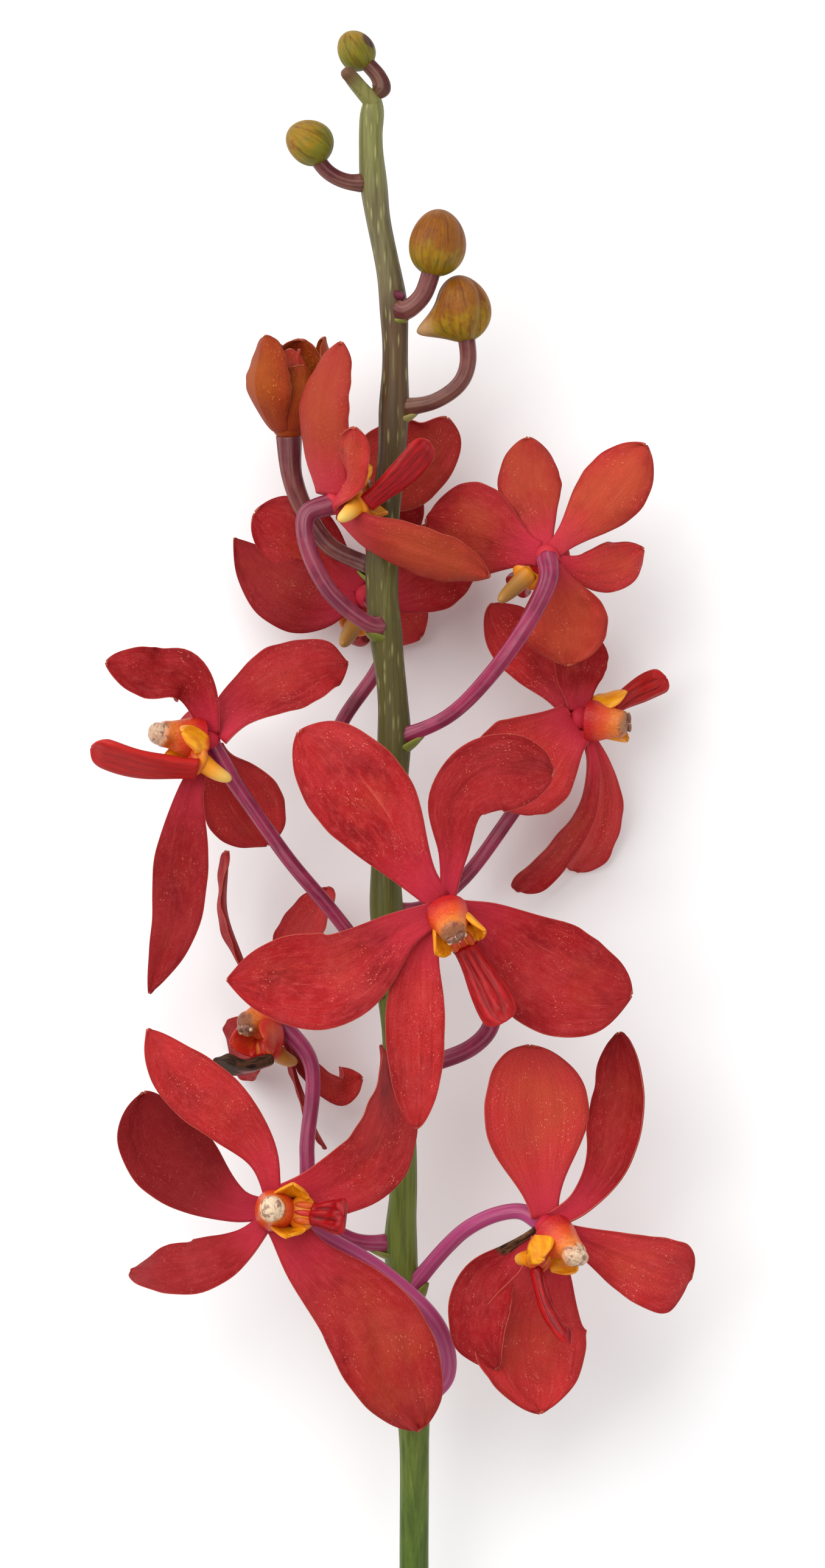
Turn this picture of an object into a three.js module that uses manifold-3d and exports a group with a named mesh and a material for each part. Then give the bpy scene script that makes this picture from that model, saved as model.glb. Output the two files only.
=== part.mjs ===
// A cut mokara orchid stem, laid down: nine open blooms, one half open, and four buds on one green stalk.
// Millimetres, +Z up. The stem runs along +Y and rests on the plane z = 0.
// Places are measured from the stem's axis where the camera's view ends, 85 mm above the cut.

import * as THREE from "three";
import { mergeVertices } from "three/addons/utils/BufferGeometryUtils.js";
import Module from "manifold-3d";

const wasm = await Module();
wasm.setup();

// The middle of the whole object, which becomes the origin
const MIDDLE_X = -4.1;
const MIDDLE_Y = 91.8;

// Gap between two pieces that touch on the plant
const CLEARANCE = 0.3;

// Tepals
const TEPAL_THICKNESS = 0.8;
const TEPAL_STEPS_ALONG = 6;
const TEPAL_STEPS_ACROSS = 3;
const TEPAL_ROOT = 1.6;
const TEPAL_TIP_CROWDING = 1.3;
const TEPAL_BLUNT = 0.97;
const EDGE_WAVES = 2.5;
const TEPAL_SHAPE = { roll: [0, 0], cup: 18, widest: 0.6, claw: 0.27, point: 0.6, wave: 0.4 };

// Where the tepals of a bloom meet
const HUB_RADIUS = 2.15;
const HUB_SIDES = 8;
const HUB_RINGS = 5;

// Column, with the cap at its end: its outline as radius and share of its length
const COLUMN_OUTLINE = [
  [2.5, 0],
  [2.6, 0.35],
  [2.1, 0.68],
  [2.4, 0.85],
  [1.9, 1.1],
  [0.9, 1.2],
];
const COLUMN_SIDES = 8;

// Throat: two upright side lobes, the saddle between them and the spur behind
const SADDLE_RADII = [2.7, 3.4, 1.5];
const LOBE_RADII = [2.7, 0.9, 2.8];
const LOBE_SPREAD = 3.8;
const LOBE_BACK = 0.5;
const THROAT_OUT = 4.8;
const THROAT_UP = 3.3;
const LOBE_UP = 1.3;
const THROAT_SIDES = 6;
const THROAT_RINGS = 4;
const SPUR_RADIUS = 1.15;
const SPUR_TIP_RADIUS = 0.6;
const SPUR_DROP = 6;
const SPUR_OUT = 3.6;

// Lip: the ridged tongue
const LIP_THICKNESS = 2.2;
const LIP_RIDGES = 4;
const LIP_RIDGE_HEIGHT = 0.45;
const LIP_STEPS_ALONG = 4;
const LIP_STEPS_ACROSS = 7;
const LIP_KNEE = 0.8;
const LIP_DROOP = 0.35;
const LIP_EDGE_THINNING = 0.5;
const LIP_ROOT_WIDTH = 0.75;
const LIP_BULGE = 0.3;
const LIP_BULGE_POWER = 1.5;

// Flower stalks
const STALK_SIDES = 6;
const STALK_STEPS = 8;
const STALK_FOOT_FLARE = 0.35;
const STALK_FLARE_DECAY = 12;
const STALK_HEAD_GAP = 1.1;

// Main stem
const STEM_SIDES = 10;
const STEM_STEPS = 26;
const NODE_SWELL = 0.35;
const NODE_REACH = 5;

// Bracts, the small scales under each stalk
const BRACT_LENGTH = 5.4;
const BRACT_HALF_WIDTH = 2;
const BRACT_THICKNESS = 0.7;
const BRACT_SIDES = 6;
const BUDS_WITH_BRACTS = 2;

// Buds
const BUD_SIDES = 12;
const BUD_STEPS = 8;
const BUD_FURROWS = 3;
const BUD_FURROW_DEPTH = 0.04;
const BUD_TAPER = 0.08;
const BEAK_START = 0.2;
const BEAK_RADII = [3.5, 1.3];

// Half-open bloom: a tepal's midrib as shares of its length and of its reach from the axis
const RING_RIB = [
  [0.02, 0.35],
  [0.24, 0.76],
  [0.54, 1],
  [1, 0.78],
];
const RING_CORE_SWELL = 1;
const RING_CORE_RISE = 1.6;
const RING_SHAPE = { cup: 48, claw: 0.4, widest: 0.42, wave: 0.1, point: 0.55 };

// Rounds of halving when a height is looked up along the stem
const HALVINGS = 30;

// Stem axis and radius, from the cut end to the tip
const STEM_ROUTE = [
  [0, -85, 2.5, 2.6],
  [-0.2, -40, 8.6, 2.55],
  [0, 0, 14.4, 2.5],
  [-0.1, 27, 18.3, 2.5],
  [-2.3, 56, 22, 2.5],
  [-1.8, 68, 23.3, 2.3],
  [-3.2, 95, 25.4, 2.4],
  [-5, 119, 26.5, 2.55],
  [-3.5, 147, 27.4, 2.55],
  [-5.6, 173, 28.2, 2.5],
  [-3.6, 199, 28.6, 2.3],
  [-3.6, 221, 29, 2.05],
  [-6.6, 238, 29, 2],
  [-7.6, 250, 29, 1.95],
  [-7, 258, 29.2, 1.8],
];

// The withered end of the stem beside the topmost bud
const STUB_ROUTE = [
  [-7, 256, 29.2],
  [-9.6, 258.8, 31],
  [-12.2, 261.6, 33.2],
];
const STUB_RADII = [1.6, 1.25];

// A tepal: its midrib from the middle of the bloom, and its half widths left and right of the midrib
const tepal = (rib, half, shape = {}) => ({ ...TEPAL_SHAPE, ...shape, rib, half });

// Blooms in their order up the stem. cap is the end of the column, lip the end of the tongue and
// throat the way from the middle to the lip's foot; all are measured from the middle of the bloom.
const BLOOMS = [
  {
    name: "bloom_1",
    middle: [-23.9, 62.9, 41],
    faces: [0.05, 0, 1],
    cap: [-0.6, 0.8, 9],
    lip: [11.7, -0.5, 9],
    throat: [1, -0.1, 0.1],
    lipHalf: 3,
    leaves: 27.5,
    stalk: [[5.6, 33, 23.5], [4.2, 42, 30], [-5, 51.5, 34], [-15.5, 58, 35.5]],
    stalkRadii: [1.6, 1.5],
    tepals: [
      tepal(
        [[-2.4, 9.6, 2], [-8.2, 16.7, 4], [-17.9, 25.4, 5], [-22.2, 31.7, 4]],
        [5.8, 5.8],
        { point: 0.8 },
      ),
      tepal([[-6.9, 1.1, -1], [-14.9, 6.4, -3], [-21, 13.3, -4], [-23.1, 20.5, -3]], [8, 7.4]),
      tepal(
        [[-5.9, -5.9, 1], [-13.3, -9.9, 2], [-19.7, -10.3, 0], [-25.3, -10.6, -4]],
        [6, 6],
        { roll: [20, 55] },
      ),
      tepal(
        [[5.3, -8.5, 1], [14.4, -17.6, 1], [20.7, -28.2, -1], [24.8, -38.4, -6]],
        [9, 8.6],
        { claw: 0.38 },
      ),
      tepal(
        [[9, 3.9, 1], [16.7, 9.6, 1], [19.4, 18.6, -1], [18.3, 28.6, -3]],
        [8.4, 8.4],
        { roll: [0, 80], claw: 0.5 },
      ),
    ],
  },
  {
    name: "bloom_2",
    middle: [23, 59.9, 34],
    faces: [0.3, -0.25, 0.9],
    cap: [5.2, -5, 6.5],
    lip: [4, -20.1, 6],
    throat: [-0.35, -1, 0.1],
    lipHalf: 1.5,
    leaves: 46.9,
    stalk: [[6, 56.2, 26], [9.7, 59.5, 28.5], [14.5, 61.8, 30], [18.7, 62.3, 31]],
    stalkRadii: [1.45, 1.35],
    tepals: [
      tepal(
        [[-0.9, 6.2, 0], [-1.9, 15.2, 1], [-2.3, 23.7, 1], [-2.8, 31.5, -1]],
        [9.8, 9.8],
        { point: 0.5 },
      ),
      tepal(
        [[6.8, 4.4, 1], [12.3, 12, 1], [14.3, 22.7, -1], [13, 33.6, -4]],
        [7, 7],
        { faces: [-0.6, 0, 0.8], cup: 60 },
      ),
      tepal(
        [[6.8, -2.7, 0], [14.8, -6.3, -1], [21.2, -8.7, -2], [25.4, -9.3, -5]],
        [6.8, 6.8],
        { widest: 0.8 },
      ),
      tepal(
        [[-0.6, -8.7, -2], [-3, -17.8, -4], [-2.1, -25.7, -4], [-1, -32.8, -3]],
        [10.5, 10.5],
        { point: 0.7 },
      ),
      tepal(
        [[-6.2, -5.3, -1], [-10.6, -10.3, 0], [-11.3, -17.8, 1], [-8.6, -24.8, 0]],
        [6, 6],
        { roll: [0, 45], cup: 40 },
      ),
    ],
  },
  {
    name: "bloom_3",
    middle: [-24.3, 95.7, 17],
    faces: [-0.7, -0.2, 0.5],
    cap: [-5.5, -1, 5],
    lip: [-10.5, -7, 6],
    throat: [0, -1, 0.2],
    lipHalf: 4,
    leaves: 56.2,
    stalk: [[-11, 57, 22], [-17.6, 62, 22], [-18.8, 72, 21.5], [-18.2, 88, 19]],
    stalkRadii: [1.4, 1.3],
    tepals: [
      tepal([[-5, 7.6, 0], [-8.7, 18.2, 1], [-8.8, 29.4, 3]], [6, 6], { faces: [-1, 0, 0.1] }),
      tepal([[1.7, 7.6, -2], [5.1, 15.5, -4], [9.4, 23, -6]], [6.5, 6.5]),
      tepal([[4.6, -6.3, -5], [9.9, -12.1, -7], [15, -10.9, -9]], [4.5, 4.5], { claw: 0.15 }),
      tepal(
        [[2.3, -6.8, -4], [4.9, -15.3, -9], [8.5, -23.4, -12]],
        [4, 4],
        { faces: [-1, 0, 0.2], claw: 0.15 },
      ),
      tepal([[-3, -3, -6], [-6, -6, -11], [-8, -8, -16.4]], [6, 6]),
    ],
  },
  {
    name: "bloom_4",
    middle: [5.5, 115.5, 48],
    faces: [0, -0.1, 1],
    cap: [1.4, -4.3, 8],
    lip: [9.9, -19.5, 6],
    throat: [0.45, -0.9, 0],
    lipHalf: 3.2,
    leaves: 86.3,
    stalk: [[10, 90.9, 29], [13.6, 95.5, 33], [13, 102.5, 36], [6.5, 110.5, 39.5]],
    stalkRadii: [1.6, 1.5],
    tepals: [
      tepal([[-4.5, 4.8, 1], [-14, 17.9, 2], [-21, 26.1, 1], [-25.5, 30.5, -1]], [8.1, 9.6]),
      tepal(
        [[1.1, 9.6, 2], [1.7, 18.6, 4], [7.2, 23.6, 4], [18.6, 23.6, 1]],
        [6.4, 7.3],
        { widest: 0.75, claw: 0.22 },
      ),
      tepal([[7.2, -2.3, -2], [15.7, -8.7, -3], [23.2, -12.8, -4], [32.2, -15.1, -6]], [8.8, 11]),
      tepal([[-7.7, -3.7, 1], [-18.3, -11.4, 1], [-27.9, -12.2, 0], [-37.9, -12.4, -3]], [8.8, 8.4]),
      tepal(
        [[-4.1, -7.4, -1], [-5.3, -18.6, -1], [-5.2, -28.7, -2], [-5.1, -38.1, -3]],
        [5.4, 5.4],
        { cup: 25, claw: 0.4, widest: 0.5 },
      ),
    ],
  },
  {
    name: "bloom_5",
    middle: [-35.6, 144.5, 38],
    faces: [-0.7, 0, 0.7],
    cap: [-8.6, 1.2, 4],
    lip: [-20.2, -1.3, 8],
    throat: [0, -0.75, 0.7],
    lipHalf: 3.3,
    leaves: 100.1,
    stalk: [[-13, 113.1, 30], [-21.6, 123.5, 33], [-26.3, 130.1, 35.5], [-31.4, 137.6, 37.8]],
    stalkRadii: [1.3, 1.25],
    tepals: [
      tepal(
        [[-0.7, 5.6, 2], [-3.5, 10.6, 4], [-10.6, 11.7, 7], [-17.6, 13.6, 8]],
        [5, 5],
        { roll: [30, 30], claw: 0.45 },
      ),
      tepal([[5.3, 5.6, 0], [12.8, 9.9, -2], [19.1, 12.8, -4], [24, 13.6, -7]], [7.5, 7], { claw: 0.5 }),
      tepal(
        [[2.4, -5, -7], [5.9, -11.4, -10], [8.5, -16, -13], [9.8, -18.1, -15]],
        [7.2, 7.2],
        { claw: 0.3, faces: [-0.2, 0.2, 1] },
      ),
      tepal(
        [[-3.1, -8.7, 1], [-4.5, -19.4, 1], [-5.9, -32.1, 0], [-10.5, -44, -3]],
        [5, 5],
        { faces: [-0.2, 0, 1], point: 0.85, widest: 0.5 },
      ),
      tepal([[-2, 0, -7], [-3, 2, -14], [-3, 4, -20], [-1, 7, -25]], [7, 7]),
    ],
  },
  {
    name: "bloom_6",
    middle: [29.3, 148.5, 17],
    faces: [0.85, 0.05, 0.5],
    cap: [8, -0.9, 3],
    lip: [15.2, 7.2, -3],
    throat: [0, 0.4, -0.9],
    lipHalf: 2.4,
    leaves: 114.5,
    stalk: [[2.1, 115.5, 21], [8.6, 120.2, 16], [17, 131.3, 13], [23.4, 141.1, 13]],
    stalkRadii: [1.3, 1.25],
    tepals: [
      tepal(
        [[-4.6, 6.2, -2], [-10.8, 13.4, -4], [-15.6, 20.4, -6]],
        [5.8, 5.8],
        { faces: [0.3, 0.1, 1], claw: 0.45 },
      ),
      tepal(
        [[-0.4, 4.8, 0], [-0.2, 9, 1], [0.6, 13, 2], [1.4, 15.5, 3]],
        [5, 5],
        { faces: [0.3, 0, 1], claw: 0.45 },
      ),
      tepal(
        [[-3.2, -2.7, 3], [-8, -6.9, 5], [-12.8, -10.1, 5], [-16.5, -12.8, 3]],
        [9.3, 9.3],
        { faces: [0.2, 0, 1], claw: 0.45, point: 0.5 },
      ),
      tepal(
        [[2.1, -7.4, 0], [1.1, -15.4, -2], [-3.7, -23.4, -6], [-10.9, -30.4, -12]],
        [3.6, 3.6],
        { faces: [0.6, 0, 0.8], widest: 0.8, point: 0.3 },
      ),
      tepal(
        [[3.9, -8.7, -4], [4.6, -15.4, -8], [2.4, -22.9, -12], [-0.5, -27.1, -16]],
        [4.2, 4.2],
        { faces: [0.5, 0, 0.8], widest: 0.75, point: 0.35 },
      ),
    ],
  },
  {
    name: "bloom_7",
    middle: [-8.5, 170.3, 11.3],
    faces: [0.1, -0.1, -1],
    cap: [0.5, -0.5, -9],
    lip: [-1, -6, -10],
    throat: [-0.4, -0.9, 0],
    spurOut: 5,
    lipHalf: 2.4,
    leaves: 133,
    stalk: [[-12.4, 140, 22.5], [-13.2, 146.4, 20], [-6.2, 157.6, 17.5], [-3.5, 165, 16.5]],
    stalkRadii: [1.3, 1.25],
    tepals: [
      tepal([[-5.9, 5.4, 1], [-12.8, 10.7, 2], [-19.6, 14.6, 2]], [7, 7], { point: 0.5 }),
      tepal(
        [[-7.5, -1.6, 2], [-14.5, 0.6, 3], [-19.6, 5, 1], [-23.2, 10.2, -1]],
        [7.4, 6.2],
        { widest: 0.4, point: 0.95 },
      ),
      tepal([[5.4, 0.9, 1], [11.8, 5.6, 0], [19.7, 11.6, -2]], [8, 8], { claw: 0.3, widest: 0.45 }),
      tepal([[3, 8, 0], [5, 16, -1], [6, 24, -2]], [5.5, 5.5]),
      tepal([[3.5, -2.5, -3], [7, -5, -6], [9.6, -7.2, -9]], [6, 6]),
    ],
  },
  {
    name: "bloom_8",
    middle: [23.2, 176.6, 36],
    faces: [0.1, 0.15, -1],
    cap: [1, 1, -9],
    lip: [-4, -4, -13],
    throat: [-0.75, -0.7, 0],
    spurOut: 6.4,
    lipHalf: 2.4,
    leaves: 144.6,
    stalk: [[5.9, 148.8, 31], [13.3, 156, 35.5], [20.4, 166.1, 40], [23.3, 172.5, 40.5]],
    stalkRadii: [1.25, 1.6],
    tepals: [
      tepal([[-1.1, 5.4, -2], [-3.2, 13.4, -5], [-3.2, 20.9, -7]], [5.7, 5.7]),
      tepal([[5, 5.1, -1], [10.9, 11.5, -2], [17.2, 19.5, -2]], [6.3, 5.9]),
      tepal([[6.1, -2, -3], [11.9, -1.5, -6], [16.9, 1.4, -9]], [4.5, 4.5]),
      tepal([[1.5, -5.5, -2], [2.9, -12.1, -4], [3.4, -18.8, -6]], [8, 8]),
      tepal([[-5.6, 1.9, -3], [-13.1, 4.7, -6], [-21, 7, -10]], [8.5, 8.5]),
    ],
  },
  {
    name: "bloom_9",
    middle: [-14, 186, 33],
    faces: [0.75, 0.65, 0.1],
    cap: [6, 2.9, -1.8],
    lip: [16.7, 10.4, 5],
    throat: [0.65, -0.1, 0.75],
    lipHalf: 2.6,
    leaves: 164.5,
    stalk: [[-8.2, 165.1, 32.5], [-14.8, 170.7, 35.5], [-18.8, 179.5, 35.5], [-18.6, 184, 34.5]],
    stalkRadii: [1.4, 1.6],
    tepals: [
      tepal(
        [[-1.6, 7.2, 3], [-2.1, 15.7, 4], [-0.9, 22.1, 4], [1.5, 27.8, 3]],
        [5.6, 5.6],
        { faces: [0.6, 0, -0.8], claw: 0.7, widest: 0.5 },
      ),
      tepal(
        [[2.4, 3, 6], [3.2, 7.2, 10], [3.6, 12.6, 13]],
        [3.8, 3.8],
        { faces: [0.2, -0.6, -0.8], claw: 0.7 },
      ),
      tepal(
        [[5.5, -5, 4], [13.5, -8.2, 5], [21, -10.9, 5], [27.1, -12.8, 4]],
        [5.2, 5.2],
        { faces: [0.3, 0.5, -0.8], claw: 0.5 },
      ),
      tepal(
        [[5, 3.5, -12], [12.5, 7.8, -18], [17.8, 12, -18], [19.9, 15.5, -17]],
        [8, 8],
        { faces: [0.4, 0.2, 0.9] },
      ),
      tepal([[4, -1, -9], [8, -3, -15], [12, -5, -16], [15, -7, -15]], [5, 5]),
    ],
  },
];

// The half-open bloom: its tepals stand round its axis, each given as its turn in degrees, length and reach
const OPENING_BLOOM = {
  name: "opening_bloom",
  middle: [-22, 198.7, 24],
  axis: [0.05, 1, 0.06],
  half: 6.6,
  ring: [[50, 16.7, 7.6], [-22, 11.8, 5.8], [-94, 16.9, 7.2], [-166, 16.3, 6.2], [122, 15.7, 5.8]],
  leaves: 174.5,
  stalk: [[-9.5, 176, 25], [-15, 179, 22.5], [-19.2, 185, 21.8], [-21.4, 191, 22.4]],
  stalkRadii: [1.4, 1.95],
};

// Closed buds in their order up the stem: middle, size across and along, and the way that the tip points
const BUDS = [
  {
    name: "bud_1",
    middle: [8.3, 220, 31],
    size: [4.8, 5.9],
    tip: [-0.15, 1, 0.1],
    beak: [-7.8, -4.2, 0],
    leaves: 202.6,
    stalk: [[3.6, 203.9, 30], [7.9, 206.9, 30.5], [9.4, 210.6, 30.8]],
    stalkRadii: [1.3, 1.55],
  },
  {
    name: "bud_2",
    middle: [4, 231.4, 33],
    size: [5.1, 5.9],
    tip: [0.1, 1, 0.1],
    leaves: 220.4,
    stalk: [[-1.2, 219.9, 31.5], [1.2, 221.9, 32.3], [2.6, 225, 32.8]],
    stalkRadii: [1.5, 1.75],
  },
  {
    name: "bud_3",
    middle: [-18.3, 249.1, 30],
    size: [4.1, 4.3],
    tip: [-0.8, 0.5, 0.1],
    leaves: 242.1,
    stalk: [[-11.5, 242.3, 29.4], [-14.2, 243.4, 29.6], [-16, 245, 29.8]],
    stalkRadii: [1.35, 1.4],
  },
  {
    name: "bud_4",
    middle: [-10.2, 265.2, 29.2],
    size: [3.4, 3.7],
    tip: [-0.5, 0.9, 0.1],
    leaves: 257,
    stalk: [[-5.7, 258.8, 29.4], [-6.2, 260.6, 29.4], [-8, 262.8, 29.3]],
    stalkRadii: [1.4, 1.35],
  },
];

// Finishes
const finish = (color, roughness) => new THREE.MeshStandardMaterial({ color, roughness, metalness: 0 });
const STEM_FINISH = finish("#6f7f3c", 0.5);
const STALK_FINISH = finish("#8c3358", 0.45);
const TEPAL_FINISH = finish("#c5323c", 0.5);
const COLUMN_FINISH = finish("#e8b48c", 0.45);
const THROAT_FINISH = finish("#e0a21e", 0.45);
const LIP_FINISH = finish("#96121e", 0.4);
const OPENING_FINISH = finish("#b8481e", 0.5);
const BUD_FINISH = finish("#a8842c", 0.5);

const vector = ([x, y, z]) => new THREE.Vector3(x, y, z);
const curveThrough = (points) => new THREE.CatmullRomCurve3(points, false, "centripetal");
const mix = THREE.MathUtils.lerp;
const radians = THREE.MathUtils.degToRad;
const UPWARD = new THREE.Vector3(0, 0, 1);
const STEMWARD = new THREE.Vector3(0, 1, 0);

/** A closed mesh as a solid that can be joined and cut. */
function solidOf(geometry) {
  const bare = geometry.clone();
  bare.deleteAttribute("normal");
  bare.deleteAttribute("uv");
  const merged = mergeVertices(bare, 1e-4);
  return new wasm.Manifold(
    new wasm.Mesh({
      numProp: 3,
      vertProperties: new Float32Array(merged.attributes.position.array),
      triVerts: new Uint32Array(merged.index.array),
    }),
  );
}

/** A solid as a mesh with flat faces. */
function geometryOf(solid) {
  const mesh = solid.getMesh();
  const geometry = new THREE.BufferGeometry();
  geometry.setAttribute("position", new THREE.BufferAttribute(mesh.vertProperties, 3));
  geometry.setIndex(new THREE.BufferAttribute(mesh.triVerts, 1));
  return geometry;
}

const joined = (solids) => solids.reduce((whole, next) => whole.add(next));

/** A solid with others cut away from it. Loose scraps are dropped. */
function cutAway(solid, cutters) {
  const rest = cutters.reduce((whole, cutter) => whole.subtract(cutter), solid);
  const pieces = rest.decompose();
  return pieces.reduce((best, piece) => (piece.volume() > best.volume() ? piece : best));
}

/** Triangles over a grid of corners, every square split along the same diagonal. */
function gridFaces(rows, columns, cornerAt, outward) {
  const faces = [];
  for (let i = 0; i < rows; i += 1) {
    for (let j = 0; j < columns; j += 1) {
      const a = cornerAt(i, j);
      const b = cornerAt(i + 1, j);
      const c = cornerAt(i + 1, j + 1);
      const d = cornerAt(i, j + 1);
      if (outward) faces.push(a, b, c, a, c, d);
      else faces.push(a, c, b, a, d, c);
    }
  }
  return faces;
}

function meshFrom(corners, faces) {
  const geometry = new THREE.BufferGeometry();
  geometry.setAttribute("position", new THREE.Float32BufferAttribute(corners.flatMap((p) => p.toArray()), 3));
  geometry.setIndex(faces);
  return geometry;
}

/** A sheet of even thickness on both sides of a surface, with s along it and v across it from -1 to 1. */
function thickSheet(surface, alongs, acrosses, thicknessAt) {
  const step = 1e-3;
  const front = [];
  const back = [];
  for (const s of alongs) {
    for (const v of acrosses) {
      const along = surface(s + step, v).sub(surface(s - step, v));
      const across = surface(s, v + step).sub(surface(s, v - step));
      const normal = across.cross(along).normalize().multiplyScalar(thicknessAt(s, v) / 2);
      const point = surface(s, v);
      front.push(point.clone().add(normal));
      back.push(point.clone().sub(normal));
    }
  }
  const rows = alongs.length - 1;
  const columns = acrosses.length - 1;
  const width = columns + 1;
  const under = front.length;
  const frontAt = (i, j) => i * width + j;
  const backAt = (i, j) => under + i * width + j;
  const faces = [...gridFaces(rows, columns, frontAt, false), ...gridFaces(rows, columns, backAt, true)];
  const rim = [];
  for (let i = 0; i < rows; i += 1) rim.push([i, 0]);
  for (let j = 0; j < columns; j += 1) rim.push([rows, j]);
  for (let i = rows; i > 0; i -= 1) rim.push([i, columns]);
  for (let j = columns; j > 0; j -= 1) rim.push([0, j]);
  rim.forEach(([i, j], k) => {
    const [m, n] = rim[(k + 1) % rim.length];
    faces.push(frontAt(i, j), frontAt(m, n), backAt(m, n), frontAt(i, j), backAt(m, n), backAt(i, j));
  });
  return meshFrom([...front, ...back], faces);
}

/** A closed tube round a curve, whose radius changes along it. */
function taperedTube(curve, radiusAt, steps, sides) {
  const frames = curve.computeFrenetFrames(steps, false);
  const corners = [];
  for (let i = 0; i <= steps; i += 1) {
    const middle = curve.getPointAt(i / steps);
    const radius = radiusAt(i / steps);
    for (let j = 0; j < sides; j += 1) {
      const angle = (2 * Math.PI * j) / sides;
      const out = frames.normals[i].clone().multiplyScalar(Math.cos(angle) * radius);
      out.addScaledVector(frames.binormals[i], Math.sin(angle) * radius);
      corners.push(middle.clone().add(out));
    }
  }
  const cornerAt = (i, j) => i * sides + (j % sides);
  const faces = gridFaces(steps, sides, cornerAt, false);
  const first = corners.push(curve.getPointAt(0)) - 1;
  const last = corners.push(curve.getPointAt(1)) - 1;
  for (let j = 0; j < sides; j += 1) {
    faces.push(first, cornerAt(0, j + 1), cornerAt(0, j));
    faces.push(last, cornerAt(steps, j), cornerAt(steps, j + 1));
  }
  return meshFrom(corners, faces);
}

/** A ball stretched along three directions. */
function ellipsoid(middle, directions, radii) {
  const geometry = new THREE.SphereGeometry(1, THROAT_SIDES, THROAT_RINGS);
  const [a, b, c] = directions.map((direction, k) => direction.clone().multiplyScalar(radii[k]));
  const place = new THREE.Matrix4().makeBasis(a, b, c).setPosition(middle);
  return geometry.applyMatrix4(place);
}

/** Steps from 0 to 1 that crowd towards 1. */
const crowded = (count, power) => Array.from({ length: count + 1 }, (_, i) => 1 - (1 - i / count) ** power);
const evenly = (count, from, to) => Array.from({ length: count + 1 }, (_, i) => mix(from, to, i / count));

/** Half width of a tepal along its midrib, from the narrow claw to the tip, as a share of its widest. */
function tepalOutline(s, { widest, claw, point }) {
  if (s < widest) return mix(claw, 1, THREE.MathUtils.smoothstep(s, 0, widest));
  const rest = Math.min((s - widest) / (1 - widest), 1);
  return (1 - TEPAL_BLUNT * rest * rest) ** point;
}

/** The middle surface of a tepal: an arched strip along its midrib, with waves near its edges. */
function tepalSurface(row, bloomFaces) {
  const faces = row.faces ? vector(row.faces).normalize() : bloomFaces;
  const first = vector(row.rib[0]);
  const rib = curveThrough([first.clone().setLength(TEPAL_ROOT), ...row.rib.map(vector)]);
  return (s, v) => {
    const at = THREE.MathUtils.clamp(s, 0, 1);
    const along = rib.getTangentAt(at);
    const point = rib.getPointAt(at).addScaledVector(along, (s - at) * rib.getLength());
    const face = faces.clone().addScaledVector(along, -faces.dot(along)).normalize();
    face.applyAxisAngle(along, radians(mix(row.roll[0], row.roll[1], at)));
    const side = along.clone().cross(face);
    const half = (v < 0 ? row.half[0] : row.half[1]) * tepalOutline(at, row);
    const arch = radians(row.cup);
    const wave = row.wave * v * v * Math.sin(2 * Math.PI * EDGE_WAVES * at + (v < 0 ? 0 : 2));
    point.addScaledVector(side, (half * Math.sin(arch * v)) / arch);
    return point.addScaledVector(face, (half * (1 - Math.cos(arch * v))) / arch + wave * at);
  };
}

function tepalSolid(row, faces) {
  const alongs = crowded(TEPAL_STEPS_ALONG, TEPAL_TIP_CROWDING);
  const acrosses = evenly(TEPAL_STEPS_ACROSS, -1, 1);
  return solidOf(thickSheet(tepalSurface(row, faces), alongs, acrosses, () => TEPAL_THICKNESS));
}

/** The directions of a bloom: up the way it faces, out towards the lip, and to the lip's side. */
function bloomDirections(bloom) {
  const up = vector(bloom.cap).normalize();
  const out = vector(bloom.throat);
  out.addScaledVector(up, -out.dot(up)).normalize();
  const side = up.clone().cross(out);
  return { up, out, side };
}

/** Column: a short thick stump from the middle of the bloom, with the round cap at its end. */
function columnSolid(bloom, extra) {
  const { up, out, side } = bloomDirections(bloom);
  const start = HUB_RADIUS + CLEARANCE - extra;
  const reach = vector(bloom.cap).length() - start;
  const corner = ([radius, share]) => new THREE.Vector2(radius + extra, start + share * reach);
  const profile = COLUMN_OUTLINE.map(corner);
  const bottom = new THREE.Vector2(0, profile[0].y);
  const top = new THREE.Vector2(0, profile.at(-1).y + extra);
  const lathe = new THREE.LatheGeometry([bottom, ...profile, top], COLUMN_SIDES);
  return solidOf(lathe.applyMatrix4(new THREE.Matrix4().makeBasis(side, up, out)));
}

/** Throat: the saddle at the lip's foot, a side lobe on each hand and the spur behind. */
function throatSolid(bloom, extra) {
  const { up, out, side } = bloomDirections(bloom);
  const foot = out.clone().multiplyScalar(THROAT_OUT).addScaledVector(up, THROAT_UP);
  const grown = (radii) => radii.map((radius) => radius + extra);
  const ways = [out, side, up];
  const saddle = solidOf(ellipsoid(foot, ways, grown(SADDLE_RADII)));
  const lobes = [-1, 1].map((hand) => {
    const middle = foot.clone().addScaledVector(side, hand * LOBE_SPREAD);
    middle.addScaledVector(up, LOBE_UP).addScaledVector(out, -LOBE_BACK);
    return solidOf(ellipsoid(middle, ways, grown(LOBE_RADII)));
  });
  const spurEnd = foot.clone().addScaledVector(up, -SPUR_DROP);
  spurEnd.addScaledVector(out, bloom.spurOut ?? SPUR_OUT);
  const spurRoute = new THREE.LineCurve3(foot, spurEnd);
  const spur = taperedTube(spurRoute, (s) => mix(SPUR_RADIUS, SPUR_TIP_RADIUS, s) + extra, 2, THROAT_SIDES);
  return joined([saddle, ...lobes, solidOf(spur)]);
}

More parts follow.
